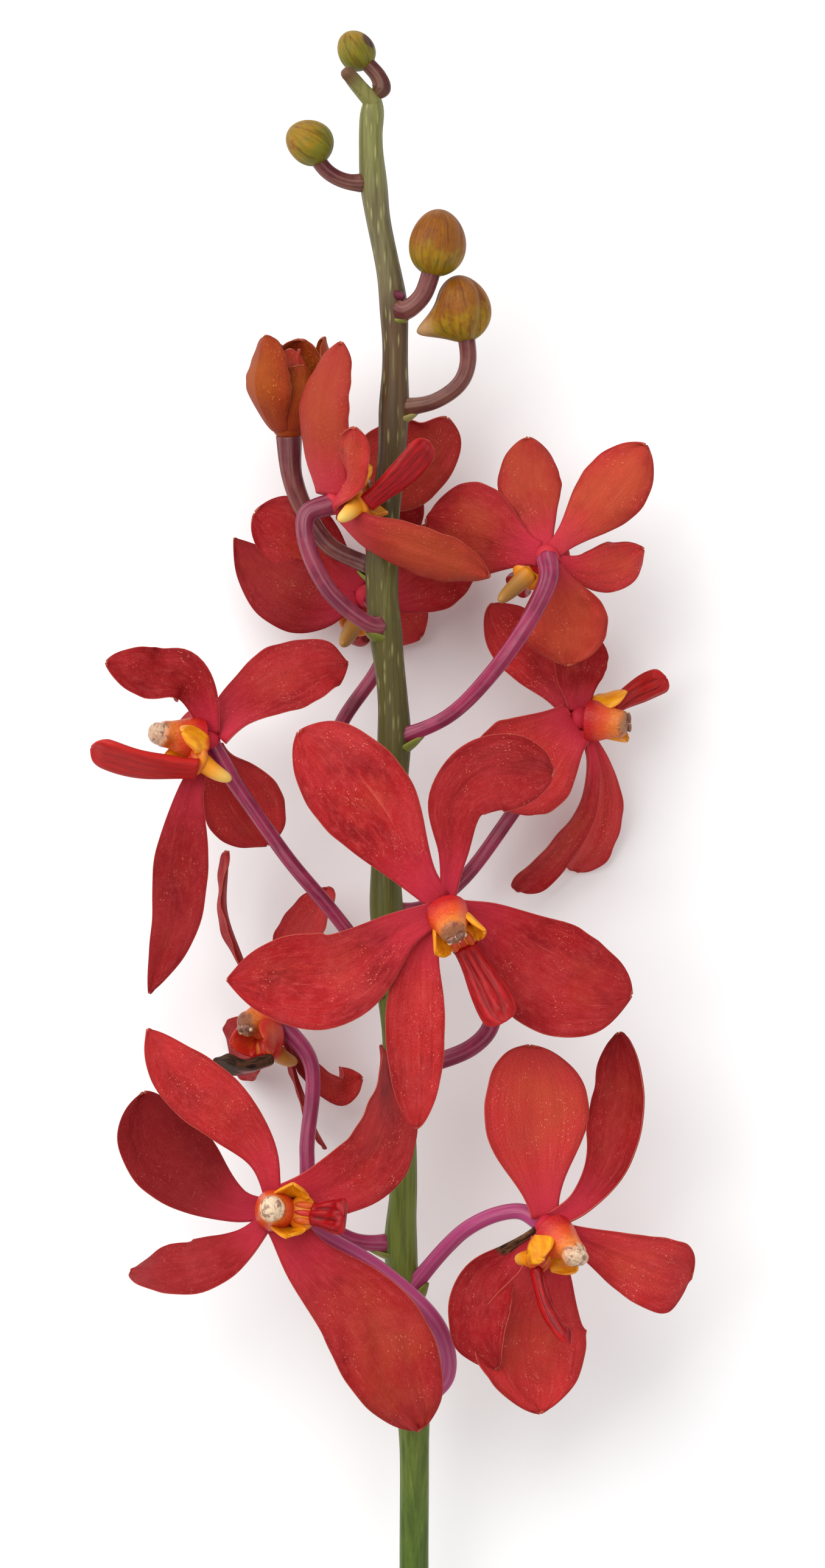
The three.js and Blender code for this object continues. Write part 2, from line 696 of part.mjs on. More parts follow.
/** Lip: a thick tongue from the throat, with ridges along its face and a notched end. */
function lipSolid(bloom, extra) {
  const { up, out, side } = bloomDirections(bloom);
  const rootOut = THROAT_OUT + LOBE_RADII[0] + CLEARANCE;
  const root = out.clone().multiplyScalar(rootOut).addScaledVector(up, THROAT_UP + CLEARANCE);
  const tip = vector(bloom.lip);
  const knee = root.clone().lerp(tip, 0.5).addScaledVector(out, LIP_KNEE);
  const rib = curveThrough([root, knee, tip]);
  const surface = (s, v) => {
    const at = THREE.MathUtils.clamp(s, 0, 1);
    const along = rib.getTangentAt(at);
    const face = along.clone().cross(side).normalize();
    const bulge = LIP_BULGE * Math.sin(Math.PI * at ** LIP_BULGE_POWER);
    const half = extra + bloom.lipHalf * (LIP_ROOT_WIDTH + bulge);
    const point = rib.getPointAt(at).addScaledVector(along, (s - at) * rib.getLength());
    return point.addScaledVector(side, half * v).addScaledVector(face, -LIP_DROOP * half * v * v);
  };
  const ridge = (s, v) => {
    const body = LIP_THICKNESS * (1 - LIP_EDGE_THINNING * v * v);
    return 2 * extra + body + LIP_RIDGE_HEIGHT * Math.cos(LIP_RIDGES * Math.PI * v);
  };
  return solidOf(
    thickSheet(surface, evenly(LIP_STEPS_ALONG, 0, 1), evenly(LIP_STEPS_ACROSS, -1, 1), ridge),
  );
}

const stemCurve = curveThrough(STEM_ROUTE.map(vector));
const stemLength = STEM_ROUTE.at(-1)[1] - STEM_ROUTE[0][1];

/** The share of the stem's length at which it passes a height, found by halving. */
function stemShareAt(height) {
  let low = 0;
  let high = 1;
  for (let round = 0; round < HALVINGS; round += 1) {
    const middle = (low + high) / 2;
    if (stemCurve.getPointAt(middle).y < height) low = middle;
    else high = middle;
  }
  return low;
}

const stemPointAt = (height) => stemCurve.getPointAt(stemShareAt(height));

/** The stem's own radius at a share of its length. */
function stemRadius(share) {
  const height = stemCurve.getPointAt(share).y;
  const above = STEM_ROUTE.findIndex((row) => row[1] >= height);
  const next = Math.max(above < 0 ? STEM_ROUTE.length - 1 : above, 1);
  const low = STEM_ROUTE[next - 1];
  const high = STEM_ROUTE[next];
  const blend = THREE.MathUtils.clamp((height - low[1]) / (high[1] - low[1]), 0, 1);
  return mix(low[3], high[3], blend);
}

/** The stem without its bracts: thicker at each place where a stalk leaves. */
function stemBody(extra) {
  const heights = [...BLOOMS, OPENING_BLOOM, ...BUDS].map((flower) => flower.leaves);
  const radiusAt = (share) => {
    const height = stemCurve.getPointAt(share).y;
    const swell = heights.reduce((sum, at) => sum + Math.exp(-(((height - at) / NODE_REACH) ** 2)), 0);
    return stemRadius(share) + NODE_SWELL * Math.min(swell, 1) + extra;
  };
  return solidOf(taperedTube(stemCurve, radiusAt, STEM_STEPS, STEM_SIDES));
}

/** The withered end of the stem, beside the topmost bud. */
function stubSolid(extra) {
  const radiusAt = (s) => mix(...STUB_RADII, s) + extra;
  return solidOf(taperedTube(curveThrough(STUB_ROUTE.map(vector)), radiusAt, 3, STALK_SIDES));
}

/** A flower stalk from inside the stem to the middle of its flower. */
function stalkSolid(flower, extra) {
  const route = [stemPointAt(flower.leaves), ...flower.stalk.map(vector), vector(flower.middle)];
  const [foot, head] = flower.stalkRadii;
  const flareAt = (s) => STALK_FOOT_FLARE * foot * Math.exp(-s * STALK_FLARE_DECAY);
  const radiusAt = (s) => mix(foot, head, s) + flareAt(s) + extra;
  return solidOf(taperedTube(curveThrough(route), radiusAt, STALK_STEPS, STALK_SIDES));
}

/** A bract: a pointed flat scale under a stalk's foot, with its own foot sunk in the stem. */
function bractSolid(flower) {
  const root = stemPointAt(flower.leaves);
  const along = vector(flower.stalk[0]).sub(root).normalize();
  const down = along.clone().multiplyScalar(along.dot(STEMWARD)).sub(STEMWARD).normalize();
  const side = along.clone().cross(down).multiplyScalar(BRACT_HALF_WIDTH);
  const below = flower.stalkRadii[0] * (1 + STALK_FOOT_FLARE) + CLEARANCE + BRACT_THICKNESS;
  const middle = root.clone().addScaledVector(along, stemRadius(stemShareAt(flower.leaves)));
  middle.addScaledVector(down, below);
  along.multiplyScalar(BRACT_LENGTH);
  down.multiplyScalar(BRACT_THICKNESS);
  const scale = new THREE.ConeGeometry(1, 1, BRACT_SIDES);
  return solidOf(scale.applyMatrix4(new THREE.Matrix4().makeBasis(side, along, down).setPosition(middle)));
}

/** A closed bud: an egg with three shallow furrows where its tepals meet, and a beak if it has one. */
function budSolid(bud, extra) {
  const up = vector(bud.tip).normalize();
  const across = UPWARD.clone().cross(up).normalize();
  const deep = up.clone().cross(across);
  const [radius, reach] = bud.size.map((size) => size + extra);
  const geometry = new THREE.SphereGeometry(1, BUD_SIDES, BUD_STEPS);
  const position = geometry.attributes.position;
  const corner = new THREE.Vector3();
  for (let i = 0; i < position.count; i += 1) {
    corner.fromBufferAttribute(position, i);
    const angle = Math.atan2(corner.z, corner.x);
    const furrow = 1 - BUD_FURROW_DEPTH * (1 + Math.cos(BUD_FURROWS * angle)) * (1 - corner.y ** 4);
    const egg = radius * furrow * (1 - BUD_TAPER * corner.y);
    const point = across.clone().multiplyScalar(corner.x * egg);
    point.addScaledVector(up, corner.y * reach).addScaledVector(deep, -corner.z * egg);
    position.setXYZ(i, point.x, point.y, point.z);
  }
  const body = solidOf(geometry);
  if (!bud.beak) return body;
  const beakEnd = vector(bud.beak);
  const beak = new THREE.LineCurve3(beakEnd.clone().multiplyScalar(BEAK_START), beakEnd);
  return body.add(solidOf(taperedTube(beak, (s) => mix(...BEAK_RADII, s) + extra, 4, 8)));
}

/** The half-open bloom's tepals, in a ring round its axis. */
function openingTepals(bloom) {
  const up = vector(bloom.axis).normalize();
  const across = up.clone().cross(UPWARD).normalize();
  const deep = across.clone().cross(up);
  const solids = bloom.ring.map(([turn, length, reach]) => {
    const out = deep.clone().multiplyScalar(Math.cos(radians(turn)));
    out.addScaledVector(across, -Math.sin(radians(turn)));
    const rib = RING_RIB.map(([height, share]) => {
      const point = up.clone().multiplyScalar(height * length);
      return point.addScaledVector(out, share * reach).toArray();
    });
    const row = tepal(rib, [bloom.half, bloom.half], RING_SHAPE);
    return tepalSolid(row, out.clone().negate());
  });
  const core = hub(RING_CORE_SWELL).translate(up.multiplyScalar(RING_CORE_RISE).toArray());
  return joined([...solids, core, hub(0)]);
}

const hub = (extra) => solidOf(new THREE.SphereGeometry(HUB_RADIUS + extra, HUB_SIDES, HUB_RINGS));

const plant = new THREE.Group();

function addPiece(name, solid, material, place) {
  const mesh = new THREE.Mesh(geometryOf(solid), material);
  mesh.name = name;
  if (place) mesh.position.set(...place);
  plant.add(mesh);
}

/** A solid moved from the middle of a flower to the flower's place. */
const moved = (solid, place) => solid.translate(place);

const stemClear = stemBody(CLEARANCE).add(stubSolid(CLEARANCE));

function addStalk(flower, head) {
  const stalk = cutAway(stalkSolid(flower, 0), [stemClear, moved(head, flower.middle)]);
  addPiece(`${flower.name}_stalk`, stalk, STALK_FINISH);
}

function addBloom(bloom) {
  const faces = vector(bloom.faces).normalize();
  const column = columnSolid(bloom, 0);
  const columnClear = columnSolid(bloom, CLEARANCE);
  const throat = cutAway(throatSolid(bloom, 0), [columnClear, hub(CLEARANCE)]);
  const throatClear = throatSolid(bloom, CLEARANCE);
  const lip = cutAway(lipSolid(bloom, 0), [columnClear, throatClear]);
  const lipClear = lipSolid(bloom, CLEARANCE);
  const blades = bloom.tepals.map((row) => tepalSolid(row, faces));
  const tepals = cutAway(joined([...blades, hub(0)]), [columnClear, throatClear, lipClear]);
  addPiece(`${bloom.name}_tepals`, tepals, TEPAL_FINISH, bloom.middle);
  addPiece(`${bloom.name}_column`, column, COLUMN_FINISH, bloom.middle);
  addPiece(`${bloom.name}_throat`, throat, THROAT_FINISH, bloom.middle);
  addPiece(`${bloom.name}_lip`, lip, LIP_FINISH, bloom.middle);
  addStalk(bloom, hub(STALK_HEAD_GAP));
}

function addStem() {
  const bracts = [...BLOOMS, OPENING_BLOOM, ...BUDS.slice(0, BUDS_WITH_BRACTS)].map(bractSolid);
  addPiece("stem", joined([stemBody(0), stubSolid(0), ...bracts]), STEM_FINISH);
}

addStem();
BLOOMS.forEach(addBloom);
addPiece("opening_bloom_tepals", openingTepals(OPENING_BLOOM), OPENING_FINISH, OPENING_BLOOM.middle);
addStalk(OPENING_BLOOM, hub(STALK_HEAD_GAP));
for (const bud of BUDS) {
  addPiece(bud.name, budSolid(bud, 0), BUD_FINISH, bud.middle);
  addStalk(bud, budSolid(bud, CLEARANCE));
}

plant.position.set(-MIDDLE_X, -MIDDLE_Y, 0);

export default plant;
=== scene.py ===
# %% [markdown]
# # A cut mokara orchid stem
# A mokara stem carries open coral-red blooms low down, younger ones above them and round buds at its tip.
# Here it lies on a pale surface, because a cut stem without a vase can't stand. This script dresses the
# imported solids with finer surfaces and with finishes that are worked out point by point. Every measure is in
# millimetres, counted from the stem's axis, and `Piece` turns them into Blender's metres.

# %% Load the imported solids
import math

import bpy
import numpy as np
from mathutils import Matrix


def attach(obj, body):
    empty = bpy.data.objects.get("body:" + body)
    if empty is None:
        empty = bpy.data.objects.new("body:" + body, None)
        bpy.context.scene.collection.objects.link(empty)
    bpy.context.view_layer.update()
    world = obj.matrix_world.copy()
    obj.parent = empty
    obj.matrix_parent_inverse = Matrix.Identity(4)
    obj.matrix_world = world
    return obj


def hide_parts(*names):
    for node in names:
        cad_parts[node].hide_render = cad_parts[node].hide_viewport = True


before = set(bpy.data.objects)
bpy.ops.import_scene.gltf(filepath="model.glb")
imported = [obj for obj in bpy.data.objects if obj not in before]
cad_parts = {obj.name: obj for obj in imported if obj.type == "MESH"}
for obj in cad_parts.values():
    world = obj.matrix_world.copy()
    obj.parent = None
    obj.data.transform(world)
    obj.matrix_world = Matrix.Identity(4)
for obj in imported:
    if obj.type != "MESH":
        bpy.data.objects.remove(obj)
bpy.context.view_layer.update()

# %% [markdown]
# ## Where the camera stands
# The photograph looks straight at the stem from about one and a half metres, so lines hardly run together.
# The stem lies down here, so the same camera hangs over it and looks down, with its top edge towards
# the buds. Its lens follows from how many millimetres the picture is tall at that distance.

# %% Camera
MIDDLE = np.array([-4.1, 91.8, 0.0])
VIEW_MIDDLE = (3.83, 45.2)
CAMERA_HEIGHT = 1600.0
BLOOM_HEIGHT = 30.0
PICTURE_TALL = 274.04
SENSOR = 24.0

camera_data = bpy.data.cameras.new("camera")
camera_data.sensor_fit = "VERTICAL"
camera_data.sensor_height = camera_data.sensor_width = SENSOR
camera_data.lens = SENSOR * (CAMERA_HEIGHT - BLOOM_HEIGHT) / PICTURE_TALL
camera_data.clip_start, camera_data.clip_end = 0.05, 20.0
camera = bpy.data.objects.new("camera", camera_data)
camera.location = [place / 1000 for place in (*VIEW_MIDDLE, CAMERA_HEIGHT)]
bpy.context.scene.collection.objects.link(camera)
bpy.context.scene.camera = camera
print(f"lens {camera_data.lens:.1f} mm")

# %% [markdown]
# ## Shader maths in plain Python
# A finish is a stack of colours: deep red first, coral over it where the noise is high, a pale rim on top.
# Each coat has a mask that says how much of it shows. Writing the masks as Python expressions keeps them
# readable. `Value` wraps one socket of a node, and adding or multiplying two of them adds a Math node.

# %% Classes that wrap a socket and a material
def paint(*screen):
    """A colour given as it looks on a screen, from 0 to 255, as the linear light that Blender works in."""
    shares = np.array(screen) / 255
    return (*np.where(shares <= 0.04045, shares / 12.92, ((shares + 0.055) / 1.055) ** 2.4).tolist(), 1.0)


class Value:
    """One number that changes over a surface. Arithmetic on it adds Math nodes."""

    def __init__(self, finish, socket):
        self.finish, self.socket = finish, socket

    def _math(self, operation, *others, clamp=False):
        made = self.finish.node("Math", {"operation": operation, "use_clamp": clamp}, [self, *others])
        return Value(self.finish, made.outputs[0])

    def __add__(self, other): return self._math("ADD", other)
    def __sub__(self, other): return self._math("SUBTRACT", other)
    def __mul__(self, other): return self._math("MULTIPLY", other)
    def __pow__(self, other): return self._math("POWER", other)
    def __rsub__(self, other): return self._math("MULTIPLY_ADD", -1.0, other)
    def clamped(self): return self._math("ADD", 0.0, clamp=True)
    def sine(self): return self._math("SINE")
    __radd__ = __add__

    def step(self, low, high):
        """0 below low, 1 above high and a smooth rise between them."""
        made = self.finish.node("MapRange", {"interpolation_type": "SMOOTHSTEP"},
                                {"Value": self, "From Min": low, "From Max": high})
        return Value(self.finish, made.outputs["Result"])


class Finish:
    """One material with a Principled shader, and the nodes that feed it."""

    def __init__(self, name, **constants):
        self.material = bpy.data.materials.new(name)
        self.material.use_nodes = True
        self.tree = self.material.node_tree
        self.shader = self.tree.nodes["Principled BSDF"]
        for socket, constant in constants.items():
            self.shader.inputs[socket.replace("_", " ")].default_value = constant

    def node(self, kind, settings=None, inputs=()):
        """Any node by its type. Settings are set first, then each input gets a link, a number or a colour."""
        made = self.tree.nodes.new("ShaderNode" + kind)
        for name, setting in (settings or {}).items():
            setattr(made, name, setting)
        for key, given in inputs.items() if isinstance(inputs, dict) else enumerate(inputs):
            socket = made.inputs[key]
            given = getattr(given, "socket", given)
            if isinstance(given, bpy.types.NodeSocket):
                self.tree.links.new(given, socket)
            else:
                socket.default_value = paint(*given) if socket.type == "RGBA" else given
        return made

    def where(self, along=None, across=1.0, up=1.0):
        """The point on the piece's own map, stretched along and across it. Where along isn't given, the
        point on the object in millimetres, stretched up the stem."""
        source, stretch = ("UV", (across, along, 1.0)) if along else ("Object", (1000.0, 1000.0 * up, 1000.0))
        start = self.node("TexCoord").outputs[source]
        return self.node("VectorMath", {"operation": "MULTIPLY"}, [start, stretch]).outputs[0]

    def part(self, axis, **where):
        """How far along one axis the point lies."""
        return Value(self, self.node("SeparateXYZ", None, [self.where(**where)]).outputs[axis])

    def mark(self, name):
        """A number that was stored on the piece's corners."""
        return Value(self, self.node("Attribute", {"attribute_name": name}).outputs["Fac"])

    def noise(self, scale, detail=3, rough=0.5, warp=0.0, **where):
        """Clouds from 0 to 1, so many to a millimetre as the scale says."""
        made = self.node("TexNoise", None, {"Vector": self.where(**where), "Scale": scale, "Detail": detail,
                                            "Roughness": rough, "Distortion": warp})
        return Value(self, made.outputs["Fac"])

    def dots(self, scale, fade, **where):
        """1 near each of many scattered points, and 0 further from it than fade."""
        made = self.node("TexVoronoi", None, {"Vector": self.where(**where), "Scale": scale})
        return 1 - Value(self, made.outputs["Distance"]).step(0.08, fade)

    def coats(self, tone, *coats):
        """A colour with others laid over it. Each coat is a mask and a colour: where the mask is 1, it hides
        what is under it."""
        for mask, colour in coats:
            tone = self.node("Mix", {"data_type": "RGBA"}, {0: mask, 6: tone, 7: colour}).outputs[2]
        return tone

    def feed(self, tone, height, strength, reach, roughness=None):
        """Links the colour, the bumps and, where it is given, the roughness to the shader."""
        bumps = self.node("Bump", None, {"Height": height, "Strength": strength, "Distance": reach})
        links = {"Base Color": tone, "Normal": bumps.outputs["Normal"]}
        if roughness:
            links["Roughness"] = roughness.clamped().socket
        for name, socket in links.items():
            self.tree.links.new(socket, self.shader.inputs[name])
        return self


print("coral in linear light", [round(share, 3) for share in paint(200, 55, 58)[:3]])

# %% [markdown]
# ## Floor and light
# A white studio has one big soft light over the object, weaker ones round it and a floor that is nearly
# white. The floor is left plain. Broad lights keep the petals' shading gentle, so their own colours show.

# %% Floor and studio lights
HALF_FLOOR, FLOOR_DROP = 3.0, -0.0005

floor_finish = Finish("floor_white", Roughness=0.9, Base_Color=(0.96, 0.96, 0.96, 1.0))
floor_mesh = bpy.data.meshes.new("floor")
floor_mesh.from_pydata([(x * HALF_FLOOR, y * HALF_FLOOR, FLOOR_DROP)
                        for x, y in ((-1, -1), (1, -1), (1, 1), (-1, 1))], [], [(0, 1, 2, 3)])
floor_mesh.materials.append(floor_finish.material)
floor = bpy.data.objects.new("floor", floor_mesh)
bpy.context.scene.collection.objects.link(floor)


def soft_light(name, place, size, watts):
    """A square light of a given size in metres, turned from its place towards the middle of the floor."""
    data = bpy.data.lights.new(name, "AREA")
    data.size, data.energy = size, watts
    light = bpy.data.objects.new(name, data)
    light.location = place
    x, y, z = place
    light.rotation_euler = (math.acos(z / math.hypot(x, y, z)), 0, math.atan2(y, x) + math.pi / 2)
    bpy.context.scene.collection.objects.link(light)


soft_light("key", (-0.8, 0.9, 1.3), 2.0, 42)
soft_light("fill", (1.1, -0.3, 1.2), 1.8, 8)
soft_light("front", (-0.2, -1.3, 1.0), 1.8, 5)

world = bpy.data.worlds.new("studio")
world.use_nodes = True
world.node_tree.nodes["Background"].inputs["Color"].default_value = (1, 1, 1, 1)
world.node_tree.nodes["Background"].inputs["Strength"].default_value = 0.4
bpy.context.scene.world = world
bpy.context.scene.view_settings.view_transform = "Standard"
print("floor and three lights")

# %% [markdown]
# ## Lines and skins
# Almost everything here is one of two shapes: a strip that follows a bent midrib, which makes a petal,
# or a ring of points carried along a path, which makes a stalk. Both end as a table of rings. `Piece`
# joins neighbouring rings with squares and closes both ends, so that no skin has a hole.

# %% Helpers on whole arrays
def smooth(low, high, x):
    """0 below low, 1 above high, and 3t squared minus 2t cubed between them."""
    t = np.clip((x - low) / (high - low), 0, 1)
    return t * t * (3 - 2 * t)


def mix(first, second, share):
    return first + (second - first) * share


def unit(arrows):
    """Each arrow divided by its own length."""
    arrows = np.asarray(arrows, float)
    return arrows / np.maximum(np.linalg.norm(arrows, axis=-1, keepdims=True), 1e-12)


def dot(first, second):
    return (first * second).sum(-1, keepdims=True)


def circle(sides):
    """The angles of so many points round a ring."""
    return np.linspace(0, 2 * np.pi, sides, endpoint=False)


def crowded(count, power=2.0):
    """Steps from 0 to 1 that crowd towards the end, the more so the higher the power."""
    return 1 - (1 - np.linspace(0, 1, count)) ** power


class Line:
    """A smooth line through points. Between two of them it is a cubic whose ends lean towards the
    neighbours, timed by the square root of each gap, and places on it are shares of its length."""

    def __init__(self, points, samples=500):
        given = np.array(points, float)
        padded = np.vstack([2 * given[0] - given[1], given, 2 * given[-1] - given[-2]])
        gaps = np.linalg.norm(np.diff(padded, axis=0), axis=1)[:, None] ** 0.5
        t = np.linspace(0, len(given) - 1, samples)
        k = np.minimum(t.astype(int), len(given) - 2)
        w = (t - k)[:, None]
        before, start, end, after = (padded[k + step] for step in range(4))
        a, b, c = (gaps[k + step] for step in range(3))
        lean_start = ((start - before) / a - (end - before) / (a + b)) * b + end - start
        lean_end = end - start + ((after - end) / c - (after - start) / (b + c)) * b
        self.points = (start + lean_start * w + (3 * (end - start) - 2 * lean_start - lean_end) * w ** 2
                       + (2 * (start - end) + lean_start + lean_end) * w ** 3)
        steps = np.linalg.norm(np.diff(self.points, axis=0), axis=1)
        self.length = steps.sum()
        self.shares = np.concatenate([[0], np.cumsum(steps)]) / self.length
        self.ways = unit(np.gradient(self.points, axis=0))

    def _read(self, table, share):
        return np.stack([np.interp(share, self.shares, table[:, axis]) for axis in range(3)], axis=-1)

    def at(self, share): return self._read(self.points, share)
    def way(self, share): return unit(self._read(self.ways, share))


quarter = Line([(1, 0, 0), (0.707, 0.707, 0), (0, 1, 0)])
print("a quarter circle's length is", round(quarter.length, 3))


# %% A piece made of closed skins
def flips(rings):
    """True if the faces over these rings would look inwards: the signed volume under them is negative."""
    p = rings - rings.reshape(-1, 3).mean(0)
    across, along = np.roll(p, -1, axis=1) - p, np.roll(p, -1, axis=0) - p
    return dot(np.cross(across, along), p)[:-1].sum() < 0


class Piece:
    """Collects closed skins, and makes them one object that stands for a solid of the frame."""

    def __init__(self, node, slot):
        self.node, self.slot, self.count = node, slot, 0
        self.corners, self.faces, self.maps, self.looks, self.marks, self.finishes = [], [], [], [], [], []

    def skin(self, rings, finish, around=None, along=None, **marks):
        """Closed skin over rings[row, side], turned round if it would face inwards. Marks are numbers for
        each corner, as one number or a table; around and along are the map's two directions."""
        rows, sides = rings.shape[:2]
        turned = flips(rings)
        if turned:
            rings = rings[:, ::-1]
            marks = {name: mark[..., ::-1] if np.ndim(mark) == 2 else mark for name, mark in marks.items()}
        if around is None:
            u = (sides - 1 - np.arange(sides + 1) if turned else np.arange(sides + 1)) / sides
        else:
            u = np.append(around[::-1], around[-1]) if turned else np.append(around, around[0])
        v = np.linspace(0, 1, rows) if along is None else along
        self.corners.append(np.vstack([rings.reshape(-1, 3), rings[0].mean(0), rings[-1].mean(0)]))
        own = np.arange(rows * sides).reshape(rows, sides)
        beside = np.roll(own, -1, axis=1)
        squares = np.stack([own[:-1], beside[:-1], beside[1:], own[1:]], -1).reshape(-1, 4)
        low = np.stack([np.full(sides, rows * sides), beside[0], own[0]], 1)
        high = np.stack([np.full(sides, rows * sides + 1), own[-1], beside[-1]], 1)
        chart = np.stack(np.meshgrid(u, v), -1)
        square_map = np.stack([chart[:-1, :-1], chart[:-1, 1:], chart[1:, 1:], chart[1:, :-1]], 2)
        self.maps += [table.reshape(-1, 2) for table in
                      (square_map, np.repeat(chart[0, :-1], 3, 0), np.repeat(chart[-1, :-1], 3, 0))]
        if finish not in self.finishes:
            self.finishes.append(finish)
        for faces in (squares, low, high):
            self.faces.append(faces + self.count)
            self.looks.append(np.full(len(faces), self.finishes.index(finish)))
        tables = {name: np.broadcast_to(mark, (rows, sides)) for name, mark in marks.items()}
        self.marks.append({name: np.append(table, [table[0].mean(), table[-1].mean()])
                           for name, table in tables.items()})
        self.count += rows * sides + 2

    def build(self):
        """One mesh from all skins: corners moved to the frame's middle and from millimetres to metres."""
        mesh = bpy.data.meshes.new(self.node + ("_petals" if "tepals" in self.node else "_form"))
        mesh.from_pydata((np.vstack(self.corners) - MIDDLE) / 1000, [],
                         sum((table.tolist() for table in self.faces), []), shade_flat=False)
        for finish in self.finishes:
            mesh.materials.append(finish.material)
        mesh.polygons.foreach_set("material_index", np.concatenate(self.looks).astype(np.int32))
        layer = mesh.uv_layers.new(name="map")
        layer.data.foreach_set("uv", np.concatenate(self.maps).astype(np.float32).ravel())
        for name in sorted({name for marks in self.marks for name in marks}):
            values = np.concatenate([marks.get(name, np.zeros(len(corners)))
                                     for marks, corners in zip(self.marks, self.corners)])
            mesh.attributes.new(name, "FLOAT", "POINT").data.foreach_set("value", values.astype(np.float32))
        made = bpy.data.objects.new(mesh.name, mesh)
        bpy.context.scene.collection.objects.link(made)
        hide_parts(self.node)
        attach(made, "root")


print("pieces are closed skins, joined by rings")

# %% [markdown]
# ## The petal finish
# A mokara petal is soft and waxy. Its coral red is never even: it is darker in long blurred patches, orange
# where the petal is young, and dotted with tiny pale specks that are stretched along the petal. Fine veins
# run from its foot to its tip, and its rim is a thin pale line. Painted sheen lies over it in large rosy
# clouds, and painted shade in a darker band just inside the rim. All of it follows the petal's own map, in
# millimetres across and along, so the veins bend with the petal. Marks on the corners say how deep the red
# of each petal is, with painted shade on petals that lie in shade and painted light on lit ones, and how
# orange it is.

# %% Petal finish
def petal_finish(name, coral, deep, rosy, amber, speck, pink):
    """Coral over deep red, with rosy patches, veins, pores, specks and a pale rim, painted sheen in large rosy
    clouds and painted shade in a band inside the rim. The shading mark makes it deeper crimson above 0, partly
    its own colour and partly painted shade, and paints light on it below 0, rosy and bright; amber makes it
    orange, and scorch makes it dry and brown."""
    petal = Finish(name, Specular_IOR_Level=0.13, Subsurface_Weight=0.05,
                   Subsurface_Radius=(0.004, 0.0012, 0.0008), Subsurface_Scale=0.25)
    edge, reach, orange, scorch, dusk = map(petal.mark, ("edge", "reach", "amber", "scorch", "dusk"))
    clouds = petal.noise(0.13, 4, 0.62, along=0.7)
    fine = petal.noise(0.9, 6, 0.7, along=0.5)
    pores = petal.noise(4.5, 3, 0.6, along=0.8)
    veins = petal.noise(1.7, 3, 0.6, 0.3, along=0.05)
    grain = petal.noise(3.2, 4, 0.6, along=0.6)
    # Painted light where the petal's shading mark is below 0: a bright lit red laid on petals that face the
    # light. Painted shade, mixed with the petal's own deeper crimson, where the mark is above 0 (next line).
    light = (0 - dusk + (clouds - 0.5) * 0.4).clamped() * (0 - dusk).step(0, 0.1)
    dark = (dusk + (clouds - 0.5) * 0.3).clamped()
    heart = reach.step(0.3, 0.55) * (1 - reach.step(0.75, 0.95)) * (1 - edge.step(0.3, 0.85))
    glow = (orange + heart * 0.2 + (petal.noise(0.1, 4, 0.6) - 0.5) * 0.9).step(0.3, 1.1)
    specks = petal.dots(1.9, 0.24, along=0.7) * petal.noise(0.22, 2).step(0.46, 0.66)
    dry = (scorch + (petal.noise(0.5, 4, 0.7) - 0.5) * 0.5).step(0.5, 0.8)
    tone = petal.coats(
        deep, (clouds.step(0.2, 0.62), coral), (light, (218, 62, 58)), (fine.step(0.42, 0.7) * 0.6, rosy),
        # Painted sheen: large soft rosy clouds stand in for the waxy sheen on the petals.
        (petal.noise(0.08, 3, 0.6).step(0.42, 0.68) * 0.4, rosy), ((1 - veins.step(0.3, 0.55)) * 0.22, deep),
        (veins.step(0.6, 0.8) * 0.26, speck), ((1 - pores.step(0.35, 0.6)) * 0.4, deep), (glow * 0.8, amber),
        (specks * 0.8, speck), (dark * 0.8, (96, 4, 10)), ((1 - reach.step(0.03, 0.4)) * 0.6, pink),
        # Painted shade: a darker band just inside the rim stands for the dark outline that shading gives each
        # petal's edge; the thin pale rim over it is the petal's own colour.
        (edge.step(0.8, 0.97) * 0.35, deep), (edge.step(0.978, 0.998) * 0.4, (206, 120, 92)),
        (dry, petal.coats((44, 26, 22), (fine.step(0.4, 0.6), (112, 78, 50)))))
    height = veins * 0.4 + grain * 0.7 + fine * 0.5 + pores * 0.3
    return petal.feed(tone, height, 0.6, 0.0005, 0.42 + fine * 0.2 + dry * 0.25)


PETAL = petal_finish("petal_coral", coral=(178, 28, 31), deep=(120, 6, 14), rosy=(202, 66, 66),
                     amber=(188, 80, 46), speck=(236, 142, 112), pink=(202, 48, 72))
YOUNG_PETAL = petal_finish("petal_young", coral=(152, 48, 10), deep=(100, 24, 8), rosy=(164, 64, 22),
                           amber=(166, 84, 14), speck=(206, 134, 70), pink=(146, 46, 20))
print("two petal finishes")

# %% [markdown]
# ## Finishes of the middle of a bloom
# The column goes from crimson at its foot over orange to a tan or cream cap, with plum stains round the
# pollen. The lobes beside it are golden and waxy, with a red flush, and the spur under them ends pale or
# green. The lip is the darkest part. Each colour follows a mark that its piece carries.

